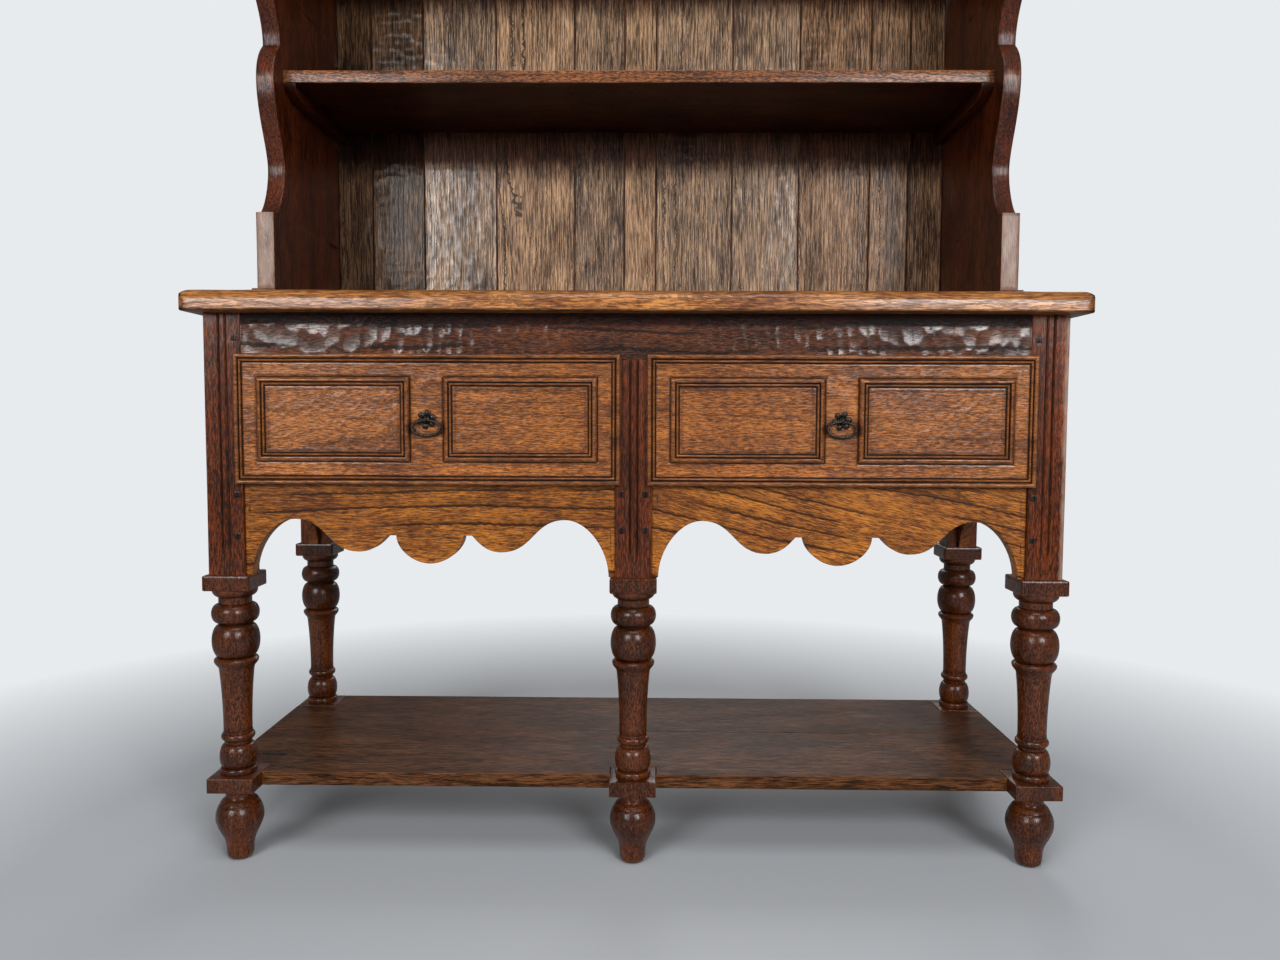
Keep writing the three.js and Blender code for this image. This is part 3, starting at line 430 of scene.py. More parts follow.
# Heights and radii in millimetres: the parts of a leg from the plinth up to the collar, and its foot.
TURNINGS = [
    half_round(9.5, 26.0, 27.8),
    straight(1.0, 24.0),
    half_round(36.5, 20.5, 28.0, 1.18),
    straight(3.5, 20.3),
    [(0, 20.3), (2.5, 20.9), (4, 22.0)],
    half_round(9.5, 22.0, 25.0),
    straight(3.0, 21.8),
    tapered(100, 21.2, 26.0, 2.2),
    [(0, 26), (3, 27), (6, 29.5), (9.5, 32), (12, 32.8), (14.5, 32.9), (17, 31), (18.5, 27.5)],
    half_round(51.5, 24.0, 35.4),
    straight(3.0, 24.0),
    half_round(29, 26.0, 35.2),
    straight(12.5, 24.5),
    [(0, 25.5), (0, 27.5), (2, 30.2), (4.5, 32.2), (7.5, 33.3), (11.5, 33.5)],
]
FOOT = [
    (0, 0), (0, 12), (1, 14.5), (3, 17.5), (6, 19.2), (9, 20), (16, 20.3), (24, 21), (31, 22.6), (38, 25.4),
    (46, 29.4), (54, 33), (62, 35.5), (68, 36), (74, 35.6), (80, 34), (86, 31.5), (88.5, 29.8), (89, 29),
    (90, 29.3), (94, 27), (95.5, 25.5), (96.5, 23.5), (100, 20.8), (104, 20.5), (115, 21), (117, 21),
    (117, 0),
]
SUNK, SUNK_RADIUS = 1.0, 26.5
# Share of the radius by which turned work has dried oval, and the way from its axis to the tree's heart.
OUT_OF_TRUE = 0.006
LEG_HEART = (0.03, 0.05)


def turned(steps, x, y, seed):
    """A skin round an upright axis: each height and radius carried round, a little out of true."""
    height, radius = np.array(steps).T * MM
    turn = np.linspace(0, 2 * math.pi, LEG_SIDES, endpoint=False)
    true = 1 + OUT_OF_TRUE * np.sin(2 * turn + seed) * np.ones_like(radius)[:, None]
    out_x = radius[:, None] * np.cos(turn) * true
    out_y = radius[:, None] * np.sin(turn) * true
    up = np.repeat(height[:, None], LEG_SIDES, axis=1)
    grain = np.stack([up + seed * GRAIN_STEP, out_x + LEG_HEART[0], out_y + LEG_HEART[1]], -1)
    return skin(np.stack([x + out_x, y + out_y, up], -1), grain)


def leg_steps():
    """The turned parts of a leg set one on the other, their heights fitted to the room between plinth
    and collar, and both ends closed inside those blocks."""
    base = PLINTH_TOP / MM
    steps = [(base - SUNK, 0), (base - SUNK, SUNK_RADIUS)]
    whole = sum(part[-1][0] for part in TURNINGS)
    fit = (COLLAR_BOTTOM - PLINTH_TOP) / MM / whole
    for part in TURNINGS:
        steps += [(base + rise * fit, radius) for rise, radius in part]
        base = steps[-1][0]
    return steps + [(base + SUNK, 0)]


def group(name, inputs, outputs):
    """An empty node group with the named sockets, each given with the kind it is."""
    tree = bpy.data.node_groups.new(name, "ShaderNodeTree")
    for way, sockets in (("INPUT", inputs), ("OUTPUT", outputs)):
        for socket, kind in sockets.items():
            tree.interface.new_socket(socket, in_out=way, socket_type="NodeSocket" + kind)
    return tree, put(tree, "NodeGroupInput").outputs


def figure_group():
    """Oak as it grows. Rings lie about the heart at even steps, so many to the metre, bent by slow noise
    and torn by fast noise; each opens with a dark porous line that fades outwards and shows only in
    places. Between the lines run short fibres and dark pores along the grain, shorter the finer, and
    clouds of lighter wood. Solid is the share of the wood that no pore takes."""
    inputs = {
        "Vector": "Vector", "Dark": "Color", "Light": "Color", "Pore": "Color",
        "Rings": "Float", "Lines": "Float", "Fine": "Float",
    }
    outputs = {"Color": "Color", "Polish": "Float", "Height": "Float", "Solid": "Float"}
    tree, given = group("oak figure", inputs, outputs)
    sums, ramp, noise, blend = short_hands(tree)
    place = given["Vector"]
    flat = put(tree, "ShaderNodeVectorMath", {"operation": "MULTIPLY"}, i0=place, i1=(0, 1, 1)).outputs[0]
    radius = put(tree, "ShaderNodeVectorMath", {"operation": "LENGTH"}, i0=flat).outputs["Value"]
    slow = sums("MULTIPLY", sums("SUBTRACT", noise(place, (1.6, 7, 7), 2.0), 0.5), 0.05)
    torn = sums("MULTIPLY", sums("SUBTRACT", noise(place, (110, 60, 60), 2.0), 0.5), 0.0045)
    rings = sums("MULTIPLY", sums("ADD", sums("ADD", radius, slow), torn), given["Rings"])
    shown = ramp(noise(place, (5, 22, 22)), 0.38, 0.52, 0.2, 1.0)
    since = sums("FRACT", rings)
    line = sums("MAXIMUM", ramp(since, 0.05, 0.2, 1.0, 0.0), ramp(since, 0.0, 0.6, 0.25, 0.0))
    line = sums("MULTIPLY", line, sums("MULTIPLY", shown, given["Lines"]))
    stretch = put(tree, "ShaderNodeCombineXYZ", X=given["Fine"], Y=1.0, Z=1.0).outputs[0]
    fine = put(tree, "ShaderNodeVectorMath", {"operation": "MULTIPLY"}, i0=place, i1=stretch).outputs[0]
    fibres = noise(fine, (70, 520, 520), 3.0, 0.75)
    dashes = ramp(noise(fine, (100, 620, 620), 2.0, 0.6), 0.5, 0.57)
    pores = sums("MULTIPLY", line, sums("ADD", sums("MULTIPLY", dashes, 0.15), 0.85))
    pores = sums("MINIMUM", sums("MAXIMUM", sums("MULTIPLY", dashes, 0.62), pores), 0.88)
    cloud = noise(place, (8, 24, 24), 3.0)
    share = ramp(sums("ADD", sums("MULTIPLY", fibres, 0.9), sums("MULTIPLY", cloud, 0.4)), 0.54, 0.76)
    color = blend(share, given["Dark"], given["Light"])
    color = blend(pores, color, given["Pore"])
    grain = sums("SUBTRACT", sums("MULTIPLY", fibres, 0.9), sums("MULTIPLY", pores, 0.8))
    height = sums("ADD", grain, sums("MULTIPLY", noise(place, (90, 160, 160), 2.0), 1.3))
    patches = sums("MULTIPLY", noise(place, (6, 20, 20), 2.0), 0.9)
    polish = sums("ADD", sums("MULTIPLY", fibres, 0.6), patches)
    solid = sums("SUBTRACT", 1.0, pores)
    put(tree, "NodeGroupOutput", Color=color, Polish=polish, Height=height, Solid=solid)
    return tree


# Tone below zero multiplies the colour by the first colour: old polish, and painted shade. Above zero it
# multiplies by the second: rubbing, and painted light. Near the top it mixes in the third: bare wood, and
# painted sheen.
OLD_POLISH_AND_SHADE = (0.2, 0.13, 0.11, 1.0)
RUBBED_AND_LIT_PALE = (1.75, 1.6, 1.25, 1.0)
BARE_WOOD_AND_SHEEN = tint(160, 138, 122)


def wear_group():
    """What age, hands and painted light do to a colour. By tone it is darkened by old polish and painted
    shade, or made paler by rubbing and painted light and sheen, at last to pale bare wood; rounded edges
    are worn to one colour and grooves filled with another, all with patchy borders. The clean share is
    where neither the darkest tone nor dirt dulls the wax."""
    inputs = {
        "Color": "Color", "Worn": "Color", "Grime": "Color",
        "Edge": "Float", "Tone": "Float", "Vector": "Vector",
    }
    tree, given = group("wear", inputs, {"Color": "Color", "Dirty": "Float", "Clean": "Float"})
    sums, ramp, noise, blend = short_hands(tree)
    patch = sums("SUBTRACT", noise(given["Vector"], (30, 110, 110), 3.0), 0.5)
    shade = sums("ADD", given["Tone"], sums("MULTIPLY", patch, 0.9))
    color = blend(ramp(shade, 0.05, 1.0), given["Color"], RUBBED_AND_LIT_PALE, "MULTIPLY")
    color = blend(ramp(shade, -0.05, -1.0), color, OLD_POLISH_AND_SHADE, "MULTIPLY")
    color = blend(ramp(shade, 0.5, 1.2, 0.0, 0.8), color, BARE_WOOD_AND_SHEEN)
    rubbed_and_lit = ramp(sums("ADD", given["Edge"], sums("MULTIPLY", patch, 0.3)), 0.08, 0.3, 0.0, 0.7)
    dirty = ramp(sums("SUBTRACT", sums("MULTIPLY", patch, 0.1), given["Edge"]), 0.03, 0.15, 0.0, 0.94)
    color = blend(dirty, blend(rubbed_and_lit, color, given["Worn"]), given["Grime"])
    clean = sums("MULTIPLY", ramp(shade, -0.9, -0.4), sums("SUBTRACT", 1.0, dirty))
    put(tree, "NodeGroupOutput", Color=color, Dirty=dirty, Clean=clean)
    return tree


OAK_FIGURE = figure_group()
WEAR = wear_group()


def oak(
    name, dark, light, pore, worn, rings=120.0, lines=0.5, fine=1.0, rough=(0.26, 0.44),
    relief=0.35, shine=0.15, wax=0.25, sheen=0.2, grime=(16, 8, 5),
):
    """Oak under old wax: its figure, worn edges and dirty grooves, with the pores sunk in it. The wax
    lies as a coat on the solid wood between the pores, where no dirt covers it."""
    material, tree, shader = fresh(name)
    sums, ramp, _, _ = short_hands(tree)
    place, edge, tone = [
        put(tree, "ShaderNodeAttribute", {"attribute_name": part}).outputs
        for part in ("grain", "edge", "tone")
    ]
    figure = put(
        tree, "ShaderNodeGroup", {"node_tree": OAK_FIGURE}, Vector=place["Vector"],
        Dark=tint(*dark), Light=tint(*light), Pore=tint(*pore), Rings=rings, Lines=lines, Fine=fine,
    ).outputs
    wear = put(
        tree, "ShaderNodeGroup", {"node_tree": WEAR}, Color=figure["Color"], Vector=place["Vector"],
        Worn=tint(*worn), Grime=tint(*grime), Edge=edge["Fac"], Tone=tone["Fac"],
    ).outputs
    gloss = ramp(figure["Polish"], 0.55, 0.95, rough[1], rough[0])
    gloss = sums("ADD", gloss, sums("MULTIPLY", wear["Dirty"], 0.3))
    bump = put(tree, "ShaderNodeBump", Height=figure["Height"], Strength=relief, Distance=0.001).outputs[0]
    coat = sums("MULTIPLY", sums("MULTIPLY", wear["Clean"], figure["Solid"]), wax)
    links = {"Base Color": wear["Color"], "Roughness": gloss, "Normal": bump, "Coat Weight": coat}
    for socket, value in links.items():
        tree.links.new(value, shader.inputs[socket])
    shader.inputs["Specular IOR Level"].default_value = shine
    shader.inputs["Coat Roughness"].default_value = sheen
    return material


DARK_OAK = oak(
    "dark polished oak", (44, 20, 8), (110, 54, 19), (24, 11, 5), (116, 58, 26),
    lines=0.4, fine=2.0, relief=0.7, shine=0.05, wax=0.7, sheen=0.24,
)
LEG_PLACES = ["front_left", "front_middle", "front_right", "back_left", "back_right"]
# Lower end, upper end, rounding and place in the log of the two square blocks of a leg.
LEG_BLOCKS = [(PLINTH_BOTTOM, PLINTH_TOP, 1.4 * MM, 1), (COLLAR_BOTTOM, COLLAR_TOP, 2.8 * MM, 2)]


def middle_of(node):
    """The middle of a node's box at rest."""
    low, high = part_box(node)
    return (low + high) / 2


def leg_tone(x, y):
    """The rule for a leg: the parts that stand out are dark with polish, the slender ones are rubbed."""

    def tone(px, py, pz):
        radius = np.hypot(px - x, py - y) / MM
        square = ((pz > PLINTH_BOTTOM - MM) & (pz < PLINTH_TOP + MM)) | (pz > COLLAR_BOTTOM - MM)
        return np.where(square, -0.3, np.interp(radius, [22, 26, 31], [0.25, 0.1, -0.3]))

    return tone


for number, place in enumerate(LEG_PLACES):
    node = "leg_" + place
    x, y, _ = middle_of(node)
    half = BLOCK_HALF
    skins = [turned(FOOT, x, y, number), turned(leg_steps(), x, y, number + 6)]
    for low, high, arris, cut in LEG_BLOCKS:
        corners = [(x - half, y - half, low), (x + half, y + half, high)]
        skins.append(block(*corners, "zxy", arris, 6 * MM, ends=arris, bow=0.2 * MM, seed=number + cut))
    piece(node, "turned", skins, DARK_OAK, leg_tone(x, y))


# Posts. Square oak posts that carry the rails and the worktop, pegged to them with square pegs. The
# three front ones have two grooves scratched down the face, which run out above the leg.
GROOVE_PLACES = (-5.5 * MM, 5.5 * MM)
GROOVE_HALF = 2.0 * MM
GROOVE_DEPTH = 2.6 * MM
GROOVE_FOOT, GROOVE_RUN = 472 * MM, 26 * MM
POST_ARRIS, POST_STEP = 1.5 * MM, 6 * MM
POST_MARKS = (26 * MM, 18 * MM, 0.3 * MM)
PEG_HALF = 4.8 * MM
PEG_TURN = math.radians(8)
OUTER_PEGS = [(18.5 * MM, 515 * MM), (18.5 * MM, 579 * MM), (18.5 * MM, 817 * MM)]
MIDDLE_PEGS = [(side * 18 * MM, z * MM) for side in (-1, 1) for z in (527, 582)]
PEG_OAK = oak("peg oak", (18, 10, 7), (44, 25, 17), (12, 7, 5), (70, 42, 28), lines=0.2, fine=2.0)
POST_OAK = oak("post oak", (44, 19, 8), (118, 54, 20), (14, 6, 3), (124, 62, 28), lines=0.9, fine=1.2)


def post(lo, hi, grooves, seed):
    """A square section carried upwards: rounded corners, and grooves in its front face that deepen
    from nothing over the run above the leg."""
    half_x, half_y = (hi.x - lo.x) / 2, (hi.y - lo.y) / 2
    core_x, core_y = half_x - POST_ARRIS, half_y - POST_ARRIS
    wide = np.linspace(-half_x + POST_ARRIS, core_x, 57)
    depth = np.linspace(-half_y + POST_ARRIS, core_y, 6)
    turn = np.linspace(0, math.pi / 2, 5)[1:-1]

    def corner(side_x, side_y, turns):
        """Points round one corner, on the side of each axis that its sign gives."""
        across = [side_x * (core_x + POST_ARRIS * math.cos(t)) for t in turns]
        through = [side_y * (core_y + POST_ARRIS * math.sin(t)) for t in turns]
        return list(zip(across, through))

    section = [(x, -half_y) for x in wide]
    section += corner(1, -1, turn[::-1])
    section += [(half_x, y) for y in depth]
    section += corner(1, 1, turn)
    section += [(x, half_y) for x in wide[::-8]]
    section += corner(-1, 1, turn[::-1])
    section += [(-half_x, y) for y in depth[::-1]]
    section += corner(-1, -1, turn)
    x, y = np.array(section).T
    z = np.linspace(lo.z, hi.z, int((hi.z - lo.z) / POST_STEP))
    if grooves:
        reach = np.clip(1 - np.abs(x[:, None] - np.array(GROOVE_PLACES)) / GROOVE_HALF, 0, 1).max(1)
        shape = np.where(y <= -half_y + SAME_PLACE, reach ** 0.5, 0)
        run = np.clip((z - GROOVE_FOOT) / GROOVE_RUN, 0, 1)
        cut = GROOVE_DEPTH * shape[None] * run[:, None]
    else:
        cut = np.zeros((len(z), len(x)))
    middle = (lo + hi) / 2
    points = np.stack([x + middle.x + 0 * cut, y + middle.y + cut, z[:, None] + 0 * cut], -1)
    length, width, deep = POST_MARKS
    marks = tool_marks(points[..., 2], points[..., 0] + points[..., 1], length, width, seed)
    face = np.abs(y) > half_y - SAME_PLACE
    points[..., 1] -= np.where(face[None], np.sign(y)[None] * deep * marks, 0)
    grain = np.stack([points[..., 2] + seed * GRAIN_STEP, x + 0.05 + 0 * cut, y + 0.04 + cut], -1)
    return skin(wander(points, 0.25 * MM, seed), grain)


def peg(x, z, face, seed):
    """A square peg driven in flush and turned a little, with a sunk line round it."""
    corners = [(-PEG_HALF, face - 0.3 * MM, -PEG_HALF), (PEG_HALF, face + 5 * MM, PEG_HALF)]
    made, faces, grain = block(*corners, "zxy", 0.9 * MM, 3 * MM, bow=0, seed=seed)
    turn = PEG_TURN * math.sin(5 * seed + 1)
    px, py, pz = made.T
    across = x + px * math.cos(turn) - pz * math.sin(turn)
    up = z + px * math.sin(turn) + pz * math.cos(turn)
    return np.stack([across, py, up], -1), faces, grain


def rubbed_sheen_strip(edge, width, face, amount):
    """The rule for a post made paler on its front along one upright edge, over a strip of the given
    width: partly rubbed wood, partly a painted sheen."""
    return lambda px, py, pz: amount * np.clip(1.3 - np.abs(px - edge) / width, 0, 1) * (py < face + 3 * MM)


POST_NODES = [
    "front_post_left", "front_post_middle", "front_post_right", "back_post_left", "back_post_right",
]
# How pale the outer edge of each corner post is made: rubbed, and with a painted sheen.
RUBBED_AND_SHEEN_POSTS = {"front_post_left": 0.4, "front_post_right": 1.0}
for number, node in enumerate(POST_NODES):
    lo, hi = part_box(node)
    if node == "front_post_middle":
        hi.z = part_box("frieze_rail")[0].z
    outer = math.copysign(1, lo.x + hi.x)
    tone = None
    # Painted sheen, with some rubbing, along the outer edge of a corner post.
    if node in RUBBED_AND_SHEEN_POSTS:
        tone = rubbed_sheen_strip(hi.x if outer > 0 else lo.x, 10 * MM, lo.y, RUBBED_AND_SHEEN_POSTS[node])
    skins = [post(lo, hi, node.startswith("front"), number)]
    piece(node, "grooved", skins, POST_OAK, tone)
    if node.startswith("front"):
        spots = MIDDLE_PEGS if node == "front_post_middle" else [(-outer * out, z) for out, z in OUTER_PEGS]
        pegs = [peg((lo.x + hi.x) / 2 + out, z, lo.y, number + k) for k, (out, z) in enumerate(spots)]
        piece(node, "pegs", pegs, PEG_OAK, stands_for=False)


# Frieze rail and aprons. Oak boards tenoned between the posts. The frieze is scraped all over by hand;
# each apron is sawn to arches and lobes, and the arris of its sawn edge is darker than its face: partly
# stain, partly painted shade.
APRON_RISES = {"arch": 87 * MM, "lobe": 37 * MM, "cusp": 62.5 * MM, "middle": 19 * MM}
APRON_PLACES = {"arch": 0.731, "lobe": 0.387, "cusp_outer": 0.228, "cusp_inner": 0.183}
SPANDREL_FOOT = 10 * MM
# A step too small to see, by which a curve leaves its start almost upright.
NUDGE = 0.2 * MM
FRIEZE_OAK = oak(
    "frieze oak", (38, 17, 8), (116, 60, 23), (10, 4, 2), (104, 56, 26),
    rings=60.0, lines=2.0, relief=0.8, shine=0.14, wax=1.0, sheen=0.15,
)
# The worn colour of the aprons is dark: the arris of the sawn edge is painted dark, for stain and for shade.
APRON_OAK = oak(
    "apron oak", (100, 50, 13), (184, 112, 37), (30, 14, 6), (48, 22, 10),
    rings=45.0, lines=1.6, fine=0.8, wax=0.2, sheen=0.3,
)


def curve(p0, p1, p2, p3, steps=18):
    """A cubic curve from the first point to the last, led by the two between."""
    t = np.linspace(0, 1, steps)[1:, None]
    p0, p1, p2, p3 = map(np.array, (p0, p1, p2, p3))
    places = (1 - t) ** 3 * p0 + 3 * (1 - t) ** 2 * t * p1 + 3 * (1 - t) * t ** 2 * p2 + t ** 3 * p3
    return places.tolist()


def scalloped(half, foot, rises, places):
    """The lower edge of half a bay, from its outer end to its middle, then mirrored: a spandrel, an
    arch, a small lobe, a flat cusp and half the middle lobe."""

    def at(place, rise):
        """A named place as a share of the bay, at a named rise above the foot."""
        return -half * places[place], foot + rises[rise]

    arch, lobe = at("arch", "arch"), at("lobe", "lobe")
    outer, inner = at("cusp_outer", "cusp"), at("cusp_inner", "cusp")
    middle = (0, foot + rises["middle"])
    spring = -half + SPANDREL_FOOT
    edge = [(-half, foot), (spring, foot)]
    steep = (spring + NUDGE, (foot + arch[1]) / 2)
    edge += curve(edge[-1], steep, ((spring + arch[0]) / 2, arch[1]), arch)
    lean = (lobe[0] - arch[0]) / 2
    edge += curve(arch, (arch[0] + lean, arch[1]), (lobe[0] - lean, lobe[1]), lobe)
    rest = (outer[0] - lobe[0]) / 2
    edge += curve(lobe, (lobe[0] + rest, lobe[1]), (outer[0] - rest / 2, (lobe[1] + outer[1]) / 2), outer)
    edge += [inner]
    steep = (inner[0] + NUDGE, (middle[1] + inner[1]) / 2)
    edge += curve(inner, steep, (inner[0] / 2, middle[1]), middle)
    return edge + [(-x, z) for x, z in edge[-2::-1]]


def level_with(edge, top):
    """A straight edge at one place across, with a point for each point of the other edge."""
    return [(along, top) for along, _ in edge]


def height_tone(heights, tones):
    """The rule for a board whose tone changes with height between the given heights."""
    return lambda px, py, pz: np.interp(pz, heights, tones)


lo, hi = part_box("frieze_rail")
post_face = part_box("front_post_right")[0].x
ends = [(-post_face, lo.y, lo.z), (post_face, hi.y, hi.z)]
marks = (16 * MM, 30 * MM, 1.3 * MM)
skins = [block(*ends, spacing=2.4 * MM, arris=1 * MM, marks=marks, seed=11)]
# Painted shade: the top of the frieze darkens to almost black under the worktop's overhang.
tone = height_tone([hi.z - 24 * MM, hi.z - 12 * MM], [-0.05, -1.5])
piece("frieze_rail", "scraped", skins, FRIEZE_OAK, tone)

bay_half = (post_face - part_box("front_post_middle")[1].x) / 2
for number, node in enumerate(["apron_left", "apron_right"]):
    lo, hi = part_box(node)
    centre = (lo.x + hi.x) / 2
    edge = [(x + centre, z) for x, z in scalloped(bay_half, lo.z, APRON_RISES, APRON_PLACES)]
    grown = {"seed": 13 + number, "pith": (0.05, 0.03), "slope": 0.22 * number}
    marks = (20 * MM, 26 * MM, (0.3 + 0.15 * number) * MM)
    top = level_with(edge, hi.z)
    skins = [board(edge, top, lo.y, hi.y, spacing=5 * MM, arris=1.1 * MM, marks=marks, **grown)]
    # Painted light and shade: each apron is paler towards its lobes and darker towards its top.
    tones = np.array([0.1, -0.15, -0.25]) + 0.2 * number
    tone = height_tone([lo.z + 20 * MM, lo.z + 70 * MM, hi.z - 10 * MM], tones)
    piece(node, "scalloped", skins, APRON_OAK, tone)


# End boards, back and runners. Each end is one wide board between a front and a back post, arched
# below; the back is a board let into the back posts; the runners carry the drawers and guide them.
END_ARCH_RISE = 87 * MM
END_OAK = oak("end oak", (64, 31, 12), (148, 84, 33), (20, 10, 6), (140, 80, 38), rings=60.0, lines=1.2)
INSIDE_OAK = oak(
    "unpolished oak", (120, 88, 56), (176, 138, 92), (88, 62, 40), (190, 156, 112),
    rough=(0.6, 0.8), wax=0.0, grime=(70, 48, 30),
)
ROUGH_SPACING = 20 * MM

front_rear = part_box("front_post_left")[1].y
back_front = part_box("back_post_left")[0].y
for number, node in enumerate(["end_board_left", "end_board_right"]):
    lo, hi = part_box(node)
    middle = (front_rear + back_front) / 2
    top = lo.z + END_ARCH_RISE
    spring = front_rear + SPANDREL_FOOT
    reach = (middle - spring) / 2
    edge = [(front_rear, lo.z), (spring, lo.z)]
    edge += curve(edge[-1], (spring + NUDGE, (lo.z + top) / 2), (middle - reach, top), (middle, top))
    edge += [(2 * middle - y, z) for y, z in edge[-2::-1]]
    marks = (24 * MM, 34 * MM, 0.35 * MM)
    level = level_with(edge, hi.z)
    skins = [board(edge, level, lo.x, hi.x, "yzx", arris=1.4 * MM, marks=marks, seed=17 + number)]
    piece(node, "arched", skins, END_OAK)

lo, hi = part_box("base_back")
skins = [block(lo, hi, spacing=ROUGH_SPACING, seed=21)]
piece("base_back", "sawn", skins, INSIDE_OAK)

ledge_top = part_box("apron_left")[1].z
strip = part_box("front_post_middle")[1].x
for number, side in enumerate(["left", "middle", "right"]):
    node = "drawer_runner_" + side
    lo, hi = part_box(node)
    x0, x1 = {"left": (lo.x, -post_face), "middle": (-strip, strip), "right": (post_face, hi.x)}[side]
    rear = hi.y if side == "middle" else back_front
    guide = [(x0, front_rear, lo.z), (x1, rear, hi.z)]
    skins = [block(*guide, "yzx", spacing=ROUGH_SPACING, seed=23 + number)]
    for a, b, cut in ((lo.x, x0, 26), (x1, hi.x, 29)):
        if b > a:
            ledge = [(a, lo.y, lo.z), (b, hi.y, ledge_top)]
            skins.append(block(*ledge, "yzx", spacing=ROUGH_SPACING, seed=cut + number))
    piece(node, "sawn", skins, INSIDE_OAK)


# Pot shelf. Two wide oak boards laid edge to edge across the plinths of the legs and notched round
# them, scraped by hand on top.
NOTCH_GAP = 0.3 * MM
SHELF_OAK = oak(
    "pot shelf oak", (50, 27, 15), (114, 72, 42), (18, 10, 6), (124, 74, 36),
    lines=0.9, fine=0.5, shine=0.06, wax=0.05, sheen=0.26,
)


def notched(edge_y, inner_y, reach, blocks):
    """An edge that runs across the shelf and steps in to the inner place round each of the blocks."""
    edge = []
    for x in blocks:
        left = max(x - BLOCK_HALF - NOTCH_GAP, -reach)
        right = min(x + BLOCK_HALF + NOTCH_GAP, reach)
        edge += [(left, edge_y)] if left > -reach else []
        edge += [(left, inner_y), (right, inner_y)]
        edge += [(right, edge_y)] if right < reach else []
    return edge


leg_places = [middle_of("leg_" + place) for place in LEG_PLACES]
front_line, back_line = leg_places[0].y, leg_places[3].y
for number, node in enumerate(["pot_shelf_front", "pot_shelf_back"]):
    lo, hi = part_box(node)
    if node == "pot_shelf_front":
        low = notched(lo.y, front_line + BLOCK_HALF + NOTCH_GAP, hi.x, [p.x for p in leg_places[:3]])
        high = level_with(low, hi.y)
    else:
        high = notched(hi.y, back_line - BLOCK_HALF - NOTCH_GAP, hi.x, [p.x for p in leg_places[3:]])
        low = level_with(high, lo.y)
    grown = {"seed": 31 + number, "pith": (0.02, 0.05)}
    marks = (64 * MM, 15 * MM, 0.8 * MM)
    skins = [board(low, high, hi.z, lo.z, "xyz", spacing=4 * MM, arris=1.6 * MM, marks=marks, **grown)]
    piece(node, "notched", skins, SHELF_OAK)


# Worktop. One wide oak board, rounded over along its front and both ends and square at the back.
WORKTOP_ROUND, WORKTOP_CORNER = 18 * MM, 12 * MM
WORKTOP_FOOT = 2 * MM
WORKTOP_SPACING = 5 * MM
# Length, width and depth of the tool marks on its top, and how far in from the edges they fade.
WORKTOP_MARKS = (34 * MM, 46 * MM, 0.5 * MM)
WORKTOP_FADE = 20 * MM
WORKTOP_OAK = oak(
    "worktop oak", (108, 56, 22), (202, 134, 70), (44, 22, 10), (186, 124, 70),
    lines=0.6, fine=0.6, shine=0.15, wax=0.8, sheen=0.18,
)


